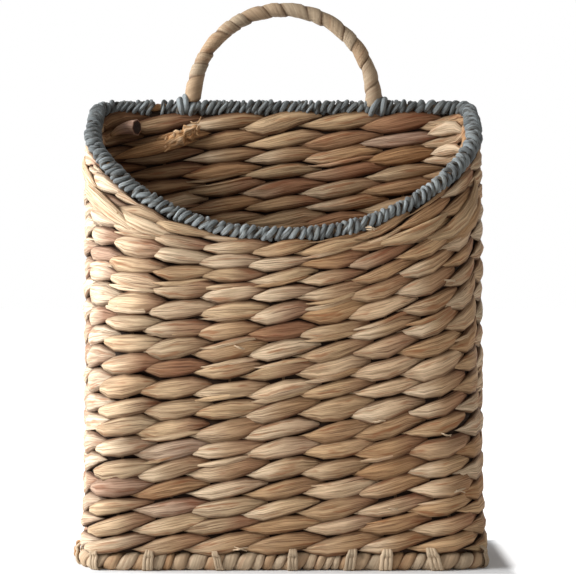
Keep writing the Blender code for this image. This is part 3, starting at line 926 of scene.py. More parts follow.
def add_cord(piece, stops, settings, seed):
    """Add a cord of twisted plies through stops.

    A stop is its centre, the ways along and outward, and the cord's width, twist and tone.
    """
    for ply in range(CORD_PLIES):
        points, radii, tints = [], [], []
        for step, (centre, along, outward, width, twist, tone) in enumerate(stops):
            drift, swell, fade = (smooth_noise(step / RIM_TURN_POINTS, seed + shift + ply, scale)
                                  for shift, scale in PLY_NOISES)
            turn = 2 * pi * (twist + ply / CORD_PLIES) + PLY_DRIFT * drift
            points.append(centre + along * (settings.cord_spread * width * cos(turn))
                          + outward * (settings.cord_rise * width * sin(turn)))
            radii.append(settings.cord_ply * width * (1 + PLY_SWELL * swell))
            # Painted shade where a ply turns under
            tints.append(shaded(gained(settings.slate, tone * (1 + PLY_FADE * fade)),
                                PLY_OPEN + (1 - PLY_OPEN) * sin(turn)))
        add_tube(piece, points, radii, tints, sides=PLY_SIDES)


def wind_rim(settings, material):
    """Wind the slate cord round the rim in uneven turns, and leave its one gap."""
    draw = random.Random(settings.seed)
    path = loop_path(rim_point, RIM_GAP_STAKE, RIM_GAP_STAKE + ALL_STAKES)
    turns = settings.rim_turns
    places = [RIM_GAP_STAKE + ALL_STAKES * turn / turns for turn in range(turns + 2)]
    facings = [wall_outward(place, rim_height(place)) for place in places]
    edges = [0.0]
    for facing in facings[:-1]:
        wide = 1 + RIM_SIDE_GAIN * facing.x ** 4
        edges.append(edges[-1] + wide * (1 + draw.uniform(-RIM_UNEVEN, RIM_UNEVEN)))
    pitch = (path.length - 2 * RIM_GAP_HALF) / edges[turns]
    tones = [draw.uniform(*RIM_TONES) for _ in facings]
    # Painted shade on the turns that face left, right and back
    for turn, facing in enumerate(facings):
        tones[turn] *= 1 + RIM_LEFT_PAINTED_SHADE * max(0.0, -facing.x) ** 2
        tones[turn] *= 1 + RIM_RIGHT_PAINTED_SHADE * max(0.0, facing.x) ** 2
        tones[turn] *= 1 + RIM_BACK_PAINTED_SHADE * max(0.0, facing.y) ** 2
    swells = [draw.uniform(-1, 1) for _ in facings]
    leans = [draw.uniform(*RIM_LEANS) for _ in facings]
    stops = []
    for step in range(turns * RIM_TURN_POINTS + 1):
        turn = step / RIM_TURN_POINTS
        index = min(floor(turn), turns - 1)
        part = turn - index
        low, high, after = edges[index], edges[index + 1], edges[min(index + 2, turns)]
        width = max((high - low + (after - 2 * high + low) * part) * pitch, LEAST_CORD)
        angle = 2 * pi * turn
        lean = settings.rim_lean * between(leans, index, part) * sin(2 * angle)
        centre, side, up = path.at(RIM_GAP_HALF + between(edges, index, part) * pitch + lean)
        outward = side * cos(angle) + up * sin(angle)
        gain = 1 + RIM_BACK_GAIN * clipped((centre.y - RIM_BACK_START) / RIM_BACK_SPAN)
        reach = RIM_REACH * gain + RIM_SWELL * between(swells, index, part)
        reach -= (settings.cord_rise + settings.cord_ply) * width
        drift = RIM_DRIFT * smooth_noise(turn, RIM_DRIFT_SEED, RIM_DRIFT_SCALE)
        stops.append((centre + outward * reach, up.cross(side), outward, width,
                      drift - settings.cord_twist * turn, between(tones, index, part)))
    piece = Piece()
    add_cord(piece, stops, settings, 1.0)
    piece.finish("rim_cord_winding", material, "grey_cord", "rim_wrap")


def wind_leaf(piece, path, turns, radius, settings, draw, width_spread, crown_height,
              across=7, around=22, start=0.0, flare=0.0, warmth=1.0, phase=0.0, gain=1.0, slant=0.0):
    """Wind a leaf strip in an overlapping helix, each turn with its own width and colour."""
    end = path.length
    edges = [0.0]
    for _ in range(turns):
        edges.append(edges[-1] + 1 + width_spread * draw.uniform(-1, 1))
    scale = (end - start) / edges[-1]
    edges = [start + edge * scale for edge in edges]
    tones = [gain * draw.uniform(*LEAF_TONES) for _ in range(turns + 1)]
    warm = [draw.random() for _ in range(turns + 1)]
    puffs = [draw.uniform(-1, 1) for _ in range(turns + 1)]
    slants = [slant * draw.uniform(*LEAF_SLANTS) for _ in range(turns + 2)]
    creases = [Vector([draw.uniform(-1, 1) for _ in range(across + 1)]) for _ in range(turns + 2)]
    points, faces = model_strip(across, turns * around)
    corners, places, tints = [], [], []
    for point in points:
        turn = min(point.y * turns, turns - 1e-6)
        index = floor(turn)
        part = turn - index
        width = edges[index + 1] - edges[index]
        distance = between(edges, index, part) + (point.x - 0.5) * width * LEAF_LAP
        angle = 2 * pi * (turn + phase)
        shift = between(slants, index, part) * sin(angle)
        centre, side, up = path.at(max(start, min(end, distance + shift)))
        crown = sin(pi * clipped(point.x)) ** CROWN_POWER + PUFF_SHARE * puffs[index]
        crease = between(creases, index, part)[round(point.x * across)]
        reach = radius + LEAF_RISE * (point.x - 1) + crown_height * (crown - 1)
        reach += LEAF_CREASE * crease - (LEAF_RISE if point.x > LEAF_EDGE else 0.0)
        reach += flare * max(0.0, 1 - min(distance, end - distance) / FLARE_LENGTH)
        corners.append(centre + (side * cos(angle) + up * sin(angle)) * reach)
        places.append(((turn * 2 * pi * radius + index * LEAF_SHIFT_ALONG) * MM,
                       point.x * width * MM + LEAF_SHIFT_ACROSS_MM * index))
        colour = mix_colours(settings.leaf, settings.warm_leaf, warmth * warm[index] ** 2)
        # Painted shade along the strip's tucked edges
        tints.append(shaded(gained(colour, between(tones, index, part)),
                            LEAF_EDGE_OPEN * min(point.x, 1 - point.x) - LEAF_EDGE_LOSS))
    piece.add(corners, faces, places, tints)


# Loose leaves, ties and lashings

def smooth_route(points, steps=6):
    """Points along a smooth curve through the points given."""
    route = []
    for index in range(len(points) - 1):
        before = points[max(index - 1, 0)]
        first, second = points[index], points[index + 1]
        after = points[min(index + 2, len(points) - 1)]
        for step in range(steps):
            part = step / steps
            route.append(0.5 * ((2 * first) + (second - before) * part
                                + (2 * before - 5 * first + 4 * second - after) * part ** 2
                                + (3 * first - before - 3 * second + after) * part ** 3))
    return [*route, points[-1]]


def wall_route(stops):
    """Spots over the wall from stops of place, height in mm and reach in mm."""
    return [wall_point(place, height / MM) + wall_outward(place, height / MM) * reach / MM
            for place, height, reach in stops]


# Loose leaves get painted shade towards their edges
LOOSE_LEAF_OPEN = 0.42


class Leaf:
    """A loose leaf: its stops on the wall, half sizes in mm and colour name."""

    def __init__(self, stops, half_width, half_thick, colour):
        self.stops, self.colour = stops, colour
        self.half_width, self.half_thick = half_width, half_thick

    def lay(self, piece, shape, settings, draw):
        """Lay the modelled lobe along the leaf's route."""
        points, faces = shape
        spots = smooth_route(wall_route(self.stops))
        face = 1 if self.stops[0][2] > 0 else -1
        frames = []
        for index in range(len(spots)):
            tangent = spots[min(index + 1, len(spots) - 1)] - spots[max(index - 1, 0)]
            share = index / (len(spots) - 1) * (len(self.stops) - 1)
            stop = self.stops[min(round(share), len(self.stops) - 1)]
            outward = wall_outward(stop[0], stop[1] / MM) * face
            outward = (outward - tangent * outward.dot(tangent) / tangent.length_squared)
            outward.normalize()
            frames.append((outward, tangent.normalized().cross(outward)))
        path = Path(spots, frames)
        seed = drawn_spot(draw)
        creases = drawn_creases(draw)
        colour = getattr(settings, self.colour)
        corners, places, tints = [], [], []
        for point in points:
            angle, radius = lobe_section(point, creases)
            centre, outward, up = path.at((point.x + 1) / 2 * path.length)
            corners.append(centre + outward * cos(angle) * radius * self.half_thick / MM
                           + up * sin(angle) * radius * self.half_width / MM)
            places.append((seed.x + point.x * path.length * MM / 2,
                           seed.y + angle * self.half_width))
            # Painted shade towards the leaf's edges
            tints.append(shaded(colour, LOOSE_LEAF_OPEN + (1 - LOOSE_LEAF_OPEN) * cos(angle)))
        piece.add(corners, faces, places, tints)


# Loose leaves, each by its stops of place, height in mm and reach in mm
RIM_SIDE_LEAVES = (
    Leaf([(-6.1, 292, 4), (-5.2, 279, 6), (-4.4, 266, 6.5), (-4.0, 257, 4)], 6.0, 2.6, "pale"),
    Leaf([(-5.2, 271, 4), (-4.5, 262, 7.5), (-3.8, 250, 8), (-3.3, 239, 7), (-2.95, 229, 3)],
         7.2, 3.4, "pale"),
    Leaf([(-4.3, 262, 3), (-3.75, 251, 6.5), (-3.4, 243, 7), (-3.1, 235, 3)], 3.6, 2.4, "tan"),
    Leaf([(-3.6, 250, 3), (-3.2, 241, 7), (-2.65, 233, 7.5), (-2.0, 227, 3)], 5.8, 3.0, "pale"),
    Leaf([(1.7, 222, 3), (2.3, 226, 6.5), (3.0, 235, 7.5), (3.6, 247, 4)], 5.4, 3.0, "straw"),
    Leaf([(2.7, 224, 3), (3.4, 232, 7), (4.0, 247, 8), (4.4, 262, 7), (4.6, 274, 3)],
         6.6, 3.4, "straw"),
    Leaf([(3.2, 222, 3), (3.9, 233, 6.5), (4.5, 249, 7), (5.0, 262, 3)], 5.0, 3.0, "tan"),
)
INNER_LEAVES = (
    Leaf([(-7.0, 286, -5), (-7.5, 291, -9), (-8.1, 297, -10), (-8.6, 301, -6)], 6.0, 3.6, "amber"),
    Leaf([(-7.8, 300, -5), (-8.1, 303, -8), (-8.5, 305, -8), (-8.8, 306, -4)], 5.0, 3.0, "amber"),
    Leaf([(7.6, 305, -4), (7.25, 309, -8), (6.9, 309, -7), (6.6, 305, -3)], 7.0, 3.4, "cream"),
    Leaf([(7.55, 290, -4), (7.2, 294, -8), (6.9, 294, -7), (6.6, 291, -3)], 5.4, 3.0, "cream"),
)

# The cut strand
CUT_STRAND = ((-7.0, 304, -6), (-7.2, 307.5, -9), (-7.42, 309.5, -11.5), (-7.56, 309.5, -15))
CUT_HALVES_MM = (1.2, 3.4, 5.2, 6.2)
CUT_FADE = 1.6
CUT_TONE = 1.5
CUT_OPEN = 0.95
CUT_END_TONE = 0.2
# The hollow of the cut end: share of the width, depth, and how bare it is; the less bare, the darker
# its painted shade
CUT_END = ((0.86, 0.0003, 0.4), (0.7, 0.0004, 0.05), (0.3, 0.0005, 0.0))

# The torn leaf
FRAY_SPOT = (-8.3, 303, -12)
FRAY_GRID = (12, 22)
FRAY_LONG = (0.0135, 0.0, 0.0072)
FRAY_HALF = 0.0056
FRAY_RISE = 0.0042
FRAY_ROUGH = 0.0030
FRAY_SUNK = 0.0022
FRAY_UNEVEN = 0.5
FRAY_PATTERN_MM = 40
FRAY_LONG_MM = 12
FRAY_WIDE_MM = 5
FRAY_COLOUR = (0.60, 0.33, 0.14)

# The torn leaf's broken fibres, with the ranges that they are drawn from
FRAY_FIBRES = 26
FRAY_ALONG = (-0.9, 1)
FRAY_START = ((-0.001, 0.001), (-0.004, 0.004))
FRAY_LEAN = ((-1, 0.8), (-0.7, 0.0), (-0.9, 1.0))
FRAY_REACH = (0.003, 0.006)
FRAY_BEND = 0.0012
FRAY_BEND_INWARD = 0.6
FRAY_WIDTH = (0.0004, 0.0010)
FRAY_TAPER = 0.6
FRAY_PALE = (0.1, 0.8)

# Loose fibres in the seams, by place and height in mm
FIBRE_SPOTS = ((1.75, 234), (3.375, 198), (-0.75, 15), (3.125, 54), (3.0, 93), (1.75, 102),
               (1.875, 42), (-0.875, 153))
FIBRES_EACH = 3
FIBRE_RUN = (0.05, 0.14)
FIBRE_RISE = (-2.0, 2.0)
FIBRE_SHIFT = (-0.04, 0.04)
FIBRE_REACHES = (5.0, 8.2, 7.2)
FIBRE_HALF = 0.0004

# The ties round the base ring, and the curled end of one at the left
BASE_CURL = ((-4.1, 15, 3), (-4.5, 14, 8), (-4.9, 9.5, 9.8), (-4.8, 4, 9.6), (-4.45, 3.5, 9.4),
             (-4.4, 7, 9.8), (-4.65, 9, 10.4))
CURL_HALF = 0.0015
CURL_SWELL = 0.3
TIE_PLACES = (-6.1, -5.1, -4.1, -3.3, -2.35, -1.1, 0.15, 1.12, 1.75, 2.65, 3.6, 4.9, 6.1, 7.2,
              8.3, 9.1, 10.1, 11.2, 12.1, 13.0)
TIE_FIBRES = 3
TIE_SLANTS = (-0.0022, 0.0028)
TIE_WIDTHS = (0.0015, 0.0028)
TIE_TONES = (0.95, 1.3)
TIE_HEIGHTS = (0.86, 1.12)
TIE_FIBRE_TONES = (0.85, 1.12)
# Outward reach, rise over the ring, spread and lean of a tie's upper end
TIE_TOP = ((0.0005, 0.0088, 0.6, 1.7), (0.0048, 0.0086, 0.7, 1.4), (0.0079, 0.0060, 0.9, 1.0))
TIE_TURNS = (30, 5, -20, -45, -70, -95, -130)
TIE_OVER_RING = 0.0012
TIE_UNEVEN = 0.0002
TIE_SPREAD = 1.1
TIE_LEAN = 0.5
TIE_LEAST_HEIGHT = 0.0006
TIE_FULL = 0.62
TIE_SWELL = 0.12


def lay_cut_strand(piece, settings, draw):
    """A thick strand cut off square, with its open end towards the right."""
    spots = smooth_route(wall_route(CUT_STRAND), 4)
    steps = len(spots) - 1
    last = len(CUT_HALVES_MM) - 1
    radii, tints = [], []
    for index in range(steps + 1):
        share = index / steps * last
        low = min(floor(share), last - 1)
        radii.append(between(CUT_HALVES_MM, low, share - low) / MM)
        colour = mix_colours(settings.tan, settings.mauve, min(1.0, CUT_FADE * index / steps))
        tints.append(shaded(gained(colour, CUT_TONE), CUT_OPEN))
    end, run = spots[-1], (spots[-1] - spots[-2]).normalized()
    for shrink, depth, bare in CUT_END:
        spots.append(end + run * depth)
        radii.append(radii[steps] * shrink)
        tints.append(shaded(gained(settings.tip, CUT_END_TONE + bare), bare))
    add_tube(piece, spots, radii, tints, sides=7)


def lay_fray(piece, settings, draw):
    """A torn leaf's crumpled pith, with short broken fibres round it."""
    root = wall_route([FRAY_SPOT])[0]
    long, inward = Vector(FRAY_LONG), Vector((0, -1, 0))
    wide = inward.cross(long).normalized() * FRAY_HALF
    points, faces = model_strip(*FRAY_GRID)
    corners, places, tints = [], [], []
    for point in points:
        along, across = 2 * point.y - 1, 2 * point.x - 1
        spot = Vector((along * 5, across * 2.2, 3.0))
        rough = noise.noise(spot * 0.7) + 0.45 * noise.noise(spot * 1.7)
        uneven = 1 + FRAY_UNEVEN * noise.noise(Vector((along * 4, 0, 9)))
        half = sqrt(max(0.0, 1 - along ** 2)) * uneven
        lift = (FRAY_RISE + FRAY_ROUGH * rough) * (1 - across ** 4) * (1 - along ** 4) - FRAY_SUNK
        corners.append(root + long * along + wide * (across * half) + inward * lift)
        places.append((along * FRAY_LONG_MM + FRAY_PATTERN_MM,
                       across * FRAY_WIDE_MM + FRAY_PATTERN_MM))
        colour = mix_colours(FRAY_COLOUR, settings.cream, clipped(0.2 + 0.8 * rough))
        # Painted shade in the pith's low hollows
        tints.append(shaded(colour, 0.8 + rough))
    piece.add(corners, faces, places, tints)
    for _ in range(FRAY_FIBRES):
        start = root + long * draw.uniform(*FRAY_ALONG)
        start += Vector((0, *(draw.uniform(*limits) for limits in FRAY_START)))
        lean = Vector([draw.uniform(*limits) for limits in FRAY_LEAN])
        reach = draw.uniform(*FRAY_REACH)
        bend = Vector((draw.uniform(-1, 1), FRAY_BEND_INWARD, draw.uniform(-1, 1))) * FRAY_BEND
        spots = smooth_route([start, start + lean * reach * 0.5, start + lean * reach + bend], 3)
        width = draw.uniform(*FRAY_WIDTH)
        last = len(spots) - 1
        radii = [width * (1 - FRAY_TAPER * index / last) for index in range(len(spots))]
        colour = mix_colours(FRAY_COLOUR, settings.cream, draw.uniform(*FRAY_PALE))
        add_tube(piece, spots, radii, [shaded(colour, 1.0)] * len(spots))


def lay_loose_fibres(piece, settings, draw):
    """Pale broken fibres that stand out of the seams."""
    for place, height in FIBRE_SPOTS:
        for _ in range(FIBRES_EACH):
            run = draw.uniform(*FIBRE_RUN)
            rise = draw.uniform(*FIBRE_RISE)
            place += draw.uniform(*FIBRE_SHIFT)
            places = (place - run, place, place + run)
            heights = (height - rise, height + draw.uniform(-1, 1), height + rise)
            spots = smooth_route(wall_route(zip(places, heights, FIBRE_REACHES)), 4)
            add_tube(piece, spots, [FIBRE_HALF] * len(spots),
                     [shaded(settings.cream, 1.0)] * len(spots))


def ring_point(place):
    """The middle of the base ring's wire at a place."""
    foot = from_table(BASE_TABLE, place)
    return Vector((foot.x, foot.y, BASE_RING_HEIGHT))


def lay_tie(piece, place, settings, draw):
    """Bind the lowest row to the base ring with a strap of a few fibres side by side."""
    out = wall_outward(place, 0)
    run = UP.cross(out)
    centre = ring_point(place)
    slant = draw.uniform(*TIE_SLANTS)
    width = draw.uniform(*TIE_WIDTHS)
    tone = draw.uniform(*TIE_TONES)
    tall = draw.uniform(*TIE_HEIGHTS)
    for fibre in range(TIE_FIBRES):
        shift = (fibre - (TIE_FIBRES - 1) / 2) * width
        stops = [centre + out * reach + UP * rise * tall + run * (shift * spread + slant * lean)
                 for reach, rise, spread, lean in TIE_TOP]
        for turn in TIE_TURNS:
            reach = BASE_RING_RADIUS + TIE_OVER_RING + TIE_UNEVEN * draw.uniform(-1, 1)
            along = shift * TIE_SPREAD + slant * TIE_LEAN * turn / TIE_TURNS[0]
            spot = centre + (out * cos(radians(turn)) + UP * sin(radians(turn))) * reach
            spot += run * along
            stops.append(Vector((spot.x, spot.y, max(spot.z, TIE_LEAST_HEIGHT))))
        spots = smooth_route(stops, 3)
        colour = gained(settings.leaf, tone * draw.uniform(*TIE_FIBRE_TONES))
        radii = [width * TIE_FULL * (1 + TIE_SWELL * smooth_noise(index, place + fibre, 0.7))
                 for index in range(len(spots))]
        add_tube(piece, spots, radii, [shaded(colour, 0.95)] * len(spots), sides=6, flat=0.6)


# Turns of cord at the handle's feet: side, shift in mm, lean, top and bottom reach in mm
LASHING_LOOPS = ((-1, -9.5, 0.05, 7.0, 5.9), (-1, -6.4, 0.15, 9.8, 5.9), (-1, 1.0, 0.9, 3.6, 5.8),
                 (1, 0.6, 0.85, 8.2, 5.9), (1, 6.6, 0.5, 6.6, 5.8))
LASHING_STEPS = 20
LASHING_REACH = 0.0052
LASHING_WIDTH = 0.0062
LASHING_HEIGHT = 0.8
LASHING_TWIST = 0.37
LASHING_TONE = 1.05
LASHING_SEED = 20.0


def lash_handle(settings, material):
    """Lead the slate cord over the rim at each foot of the handle."""
    piece = Piece()
    for number, (side, shift, lean, top, bottom) in enumerate(LASHING_LOOPS):
        foot = Vector((side * HANDLE_SPAN / 2 + shift / MM, HALF_DEPTH, BACK_RIM_HEIGHT))
        along = Vector((1, 0, -lean)).normalized()
        stops = []
        for step in range(LASHING_STEPS + 1):
            angle = 2 * pi * step / LASHING_STEPS
            rise = (top if cos(angle) > 0 else bottom) / MM * cos(angle) * LASHING_HEIGHT
            twist = LASHING_TWIST * number - settings.cord_twist * step / LASHING_STEPS
            stops.append((foot + Vector((lean * rise, -LASHING_REACH * sin(angle), rise)),
                          along, Vector((0, -sin(angle), cos(angle))), LASHING_WIDTH,
                          twist, LASHING_TONE))
        add_cord(piece, stops, settings, LASHING_SEED + number)
    piece.finish("handle_cord_lashing", material, "grey_cord")


PANEL_ROWS = 9
PANEL_HEIGHT = 0.006
PANEL_SPACING = 0.026
PANEL_MARGIN = 0.0045
PANEL_NEAR = 0.02
PANEL_REACH = 0.62
PANEL_FULL = 1.08
PANEL_WIDTHS = (0.92, 1.05)
PANEL_HALF_THICK = 0.0019
PANEL_DIVE_POWER = 3.5
PANEL_TILT = 0.0012
PANEL_OPEN = 0.4


def weave_base(shape, material, settings):
    """Weave the base panel's rows of leaf over and under its cross wires."""
    draw = random.Random(settings.seed + 5)
    points, faces = shape
    piece = Piece()
    outline = [from_table(BASE_TABLE, step / 4) for step in range(4 * ALL_STAKES)]
    depth = HALF_DEPTH - PANEL_MARGIN
    for row in range(PANEL_ROWS):
        across = depth * (2 * (row + 0.5) / PANEL_ROWS - 1)
        reach = max(abs(spot.x) for spot in outline if abs(spot.y - across) < PANEL_NEAR)
        corner = max(0.0, BASE_FRONT_RADIUS - HALF_DEPTH - across)
        reach -= PANEL_MARGIN + BASE_FRONT_RADIUS
        reach += sqrt(max(BASE_FRONT_RADIUS ** 2 - corner ** 2, 0.0))
        count = floor(2 * reach / PANEL_SPACING)
        for index in range(count):
            middle = PANEL_SPACING * (index + 0.5 - count / 2)
            for face in (1, -1):
                colour = strand_colour(settings, draw, True)
                seed = drawn_spot(draw)
                half = depth / PANEL_ROWS * PANEL_FULL * draw.uniform(*PANEL_WIDTHS)
                corners, places, tints = [], [], []
                for point in points:
                    along = point.x * PANEL_REACH * PANEL_SPACING
                    arch = 1 - abs(point.x) ** PANEL_DIVE_POWER + point.y
                    lift = PANEL_HALF_THICK * arch - PANEL_TILT * point.x * face
                    corners.append(Vector((middle + along, across + half * point.z,
                                           PANEL_HEIGHT + face * lift)))
                    places.append((seed.x + along * MM, seed.y + point.z * half * MM))
                    # Painted shade on the side of each strip that faces into the panel
                    tints.append(shaded(colour, PANEL_OPEN + (1 - PANEL_OPEN) * point.y))
                piece.add(corners, faces if face > 0 else turned_over(faces), places, tints)
    piece.finish("base_panel_weave", material, "hyacinth_strand", "base_weave")


# Materials

def new_socket(group, name, direction, kind, default=None):
    kind = "NodeSocket" + kind
    socket = group.interface.new_socket(name=name, in_out=direction, socket_type=kind)
    if default is not None:
        socket.default_value = default


class Nodes:
    """Short calls that add and join nodes in one tree."""

    def __init__(self, tree):
        self.tree = tree

    def add(self, kind, **settings):
        node = self.tree.nodes.new(kind)
        for name, value in settings.items():
            setattr(node, name, value)
        return node

    def join(self, output, target):
        self.tree.links.new(output, target)

    def put(self, target, value):
        """Give an input a value or another node's output."""
        if isinstance(value, bpy.types.NodeSocket):
            self.join(value, target)
        else:
            target.default_value = value

    def maths(self, operation, first, second=0.0, third=0.0, clamp=False):
        node = self.add("ShaderNodeMath", operation=operation, use_clamp=clamp)
        for target, value in zip(node.inputs, (first, second, third)):
            self.put(target, value)
        return node.outputs[0]

    def mixed(self, share, first, second, blend="MIX"):
        node = self.add("ShaderNodeMix", data_type="RGBA", blend_type=blend)
        for name, value in (("Factor", share), ("A", first), ("B", second)):
            target = next(s for s in node.inputs if s.name == name and s.enabled)
            self.put(target, value)
        return next(s for s in node.outputs if s.enabled)

    def times(self, colour, factors):
        return self.mixed(1.0, colour, factors, "MULTIPLY")

    def stretched(self, vector, scale):
        node = self.add("ShaderNodeVectorMath", operation="MULTIPLY")
        self.put(node.inputs[0], vector)
        self.put(node.inputs[1], scale)
        return node.outputs[0]

    def clouds(self, vector, scale, detail=3.0, roughness=0.55):
        node = self.add("ShaderNodeTexNoise")
        self.put(node.inputs["Vector"], vector)
        self.put(node.inputs["Scale"], scale)
        node.inputs["Detail"].default_value = detail
        node.inputs["Roughness"].default_value = roughness
        return node.outputs["Fac"]

    def fibre_noise(self, pattern, kind, scale=1.0):
        stretch, detail, roughness = kind
        return self.clouds(self.stretched(pattern, stretch), scale, detail, roughness)

    def band(self, value, low, high, to_low=0.0, to_high=1.0):
        node = self.add("ShaderNodeMapRange", interpolation_type="SMOOTHSTEP")
        for target, number in zip(node.inputs, (value, low, high, to_low, to_high)):
            self.put(target, number)
        return node.outputs[0]


# Inputs of the fibre group: name, kind of socket and default
FIBRE_INPUTS = (("Pattern", "Vector", None), ("Colour", "Color", (0.5, 0.35, 0.2, 1)),
                ("Openness", "Float", 1.0), ("Fibre", "Float", 1.0), ("Contrast", "Float", 1.0),
                ("Stain", "Float", 1.0))
FIBRE_OUTPUTS = (("Colour", "Color"), ("Roughness", "Float"), ("Height", "Float"))

# Noises of the fibre group: stretch along, across and into the pattern, detail, roughness
FINE_NOISE = ((0.035, 1.3, 1), 4.0, 0.65)
BROAD_NOISE = ((0.03, 0.42, 1), 2.0, 0.5)
SPLIT_NOISE = ((0.02, 1.0, 2), 3.0, 0.6)
PATCH_NOISE = ((0.035, 0.24, 1), 3.0, 0.6)
DOT_NOISE = ((0.9, 1.3, 1), 2.0, 0.5)

# What a leaf's colour is multiplied by in its streaks and stains, and in its painted crevice shade
LIGHT_STREAK = (1.34, 1.32, 1.28, 1)
DARK_STREAK = (0.62, 0.55, 0.47, 1)
SPLIT_LINE = (0.30, 0.20, 0.14, 1)
RUST = (0.68, 0.42, 0.29, 1)
BLOOM = (1.30, 1.28, 1.22, 1)
CREVICE_PAINTED_SHADE = (0.25, 0.18, 0.125, 1)

# Specks on the dark iron
WIRE_RUST = (0.09, 0.045, 0.025, 1)


def plant_fibre_group():
    """Streaks, stains and freckles that run along a strand's pattern map, in mm, and the painted
    crevice shade that its openness sets.
    """
    group = bpy.data.node_groups.new("Plant fibre", "ShaderNodeTree")
    for name, kind, default in FIBRE_INPUTS:
        new_socket(group, name, "INPUT", kind, default)
    for name, kind in FIBRE_OUTPUTS:
        new_socket(group, name, "OUTPUT", kind)
    nodes = Nodes(group)
    given = nodes.add("NodeGroupInput").outputs
    result = nodes.add("NodeGroupOutput").inputs
    pattern, plain, contrast = given["Pattern"], given["Colour"], given["Contrast"]
    streak = nodes.band(nodes.fibre_noise(pattern, FINE_NOISE, given["Fibre"]), 0.34, 0.66)
    ridge = nodes.band(nodes.fibre_noise(pattern, BROAD_NOISE, given["Fibre"]), 0.32, 0.68)
    split = nodes.fibre_noise(pattern, SPLIT_NOISE, given["Fibre"])
    patch = nodes.fibre_noise(pattern, PATCH_NOISE)
    dots = nodes.fibre_noise(pattern, DOT_NOISE)
    share = nodes.maths("MULTIPLY_ADD", ridge, 0.45, nodes.maths("MULTIPLY", streak, 0.55))
    share = nodes.maths("SUBTRACT", share, 0.5)
    share = nodes.maths("MULTIPLY_ADD", share, contrast, 0.60, clamp=True)
    colour = nodes.mixed(share, nodes.times(plain, DARK_STREAK), nodes.times(plain, LIGHT_STREAK))
    line = nodes.band(split, 0.33, 0.40, 1.0, 0.0)
    line = nodes.maths("MULTIPLY", line, nodes.maths("MULTIPLY", contrast, 0.5, clamp=True))
    colour = nodes.mixed(line, colour, nodes.times(plain, SPLIT_LINE))
    rust = nodes.times(plain, RUST)
    for amount, depth, over in ((nodes.band(patch, 0.52, 0.68), 0.8, rust),
                                (nodes.band(patch, 0.36, 0.24), 0.5, nodes.times(plain, BLOOM)),
                                (nodes.band(dots, 0.68, 0.76), 0.45, rust)):
        amount = nodes.maths("MULTIPLY", amount, given["Stain"])
        colour = nodes.mixed(nodes.maths("MULTIPLY", amount, depth, clamp=True), colour, over)
    # Painted shade: the less open a spot, the darker its colour is made
    shade = nodes.band(given["Openness"], 0.0, 0.75)
    nodes.join(nodes.mixed(shade, nodes.times(colour, CREVICE_PAINTED_SHADE), colour), result["Colour"])
    nodes.join(nodes.maths("MULTIPLY_ADD", streak, -0.12, 0.74), result["Roughness"])
    height = nodes.maths("MULTIPLY_ADD", ridge, 0.8, nodes.maths("MULTIPLY", streak, 0.35))
    nodes.join(nodes.maths("MULTIPLY_ADD", line, -0.8, height), result["Height"])
    return group


def new_material(name):
    """A new material, the short calls for its nodes, and its shader's inputs."""
    material = bpy.data.materials.new(name)
    material.use_nodes = True
    shader = material.node_tree.nodes["Principled BSDF"]
    return material, Nodes(material.node_tree), shader.inputs


def fibre_material(name, group, fibre=1.0, contrast=1.0, stain=1.0, bump=0.00035, sheen=0.0,
                   plain=None):
    """A plant fibre finish that reads a piece's own tint, or one plain colour on a CAD node."""
    material, nodes, shader = new_material(name)
    fibres = nodes.add("ShaderNodeGroup", node_tree=group)
    if plain is None:
        tint = nodes.add("ShaderNodeVertexColor", layer_name="tint").outputs
        # The tint's alpha is the openness that sets the painted crevice shade
        colour, openness = tint["Color"], tint["Alpha"]
        pattern = nodes.add("ShaderNodeUVMap", uv_map="pattern").outputs["UV"]
    else:
        colour, openness = (*plain, 1), 1.0
        turned = nodes.add("ShaderNodeMapping")
        turned.inputs["Rotation"].default_value = (0, pi / 2, 0)
        turned.inputs["Scale"].default_value = (MM, MM, MM)
        nodes.join(nodes.add("ShaderNodeTexCoord").outputs["Object"], turned.inputs["Vector"])
        pattern = turned.outputs["Vector"]
    for target, value in (("Colour", colour), ("Openness", openness), ("Pattern", pattern),
                          ("Fibre", fibre), ("Contrast", contrast), ("Stain", stain)):
        nodes.put(fibres.inputs[target], value)
    bumps = nodes.add("ShaderNodeBump")
    bumps.inputs["Strength"].default_value = 0.8
    bumps.inputs["Distance"].default_value = bump
    nodes.join(fibres.outputs["Height"], bumps.inputs["Height"])
    nodes.join(fibres.outputs["Colour"], shader["Base Color"])
    nodes.join(fibres.outputs["Roughness"], shader["Roughness"])
    nodes.join(bumps.outputs["Normal"], shader["Normal"])
    shader["Specular IOR Level"].default_value = 0.25
    shader["Sheen Weight"].default_value = sheen
    return material


def wire_material(name, colour):
    """Dull dark iron, with a fine grain in its roughness."""
    material, nodes, shader = new_material(name)
    place = nodes.add("ShaderNodeTexCoord").outputs["Object"]
    grain = nodes.clouds(place, 900.0)
    rust = nodes.band(nodes.clouds(place, 120.0, 4.0), 0.5, 0.7)
    nodes.join(nodes.mixed(rust, (*colour, 1), WIRE_RUST), shader["Base Color"])
    nodes.join(nodes.maths("MULTIPLY_ADD", grain, 0.3, 0.35), shader["Roughness"])
    shader["Metallic"].default_value = 0.85
    return material


# Values of the plant fibre finishes
FIBRE_FINISHES = {
    "twined_hyacinth": {"contrast": 1.65, "bump": 0.0006},
    "slate_cord": {"fibre": 1.5, "contrast": 1.6, "stain": 0.0, "bump": 0.0006, "sheen": 0.15},
    "wound_leaf": {"fibre": 0.9, "contrast": 0.6, "stain": 0.5, "bump": 0.0003},
    "bent_reed": {},
}


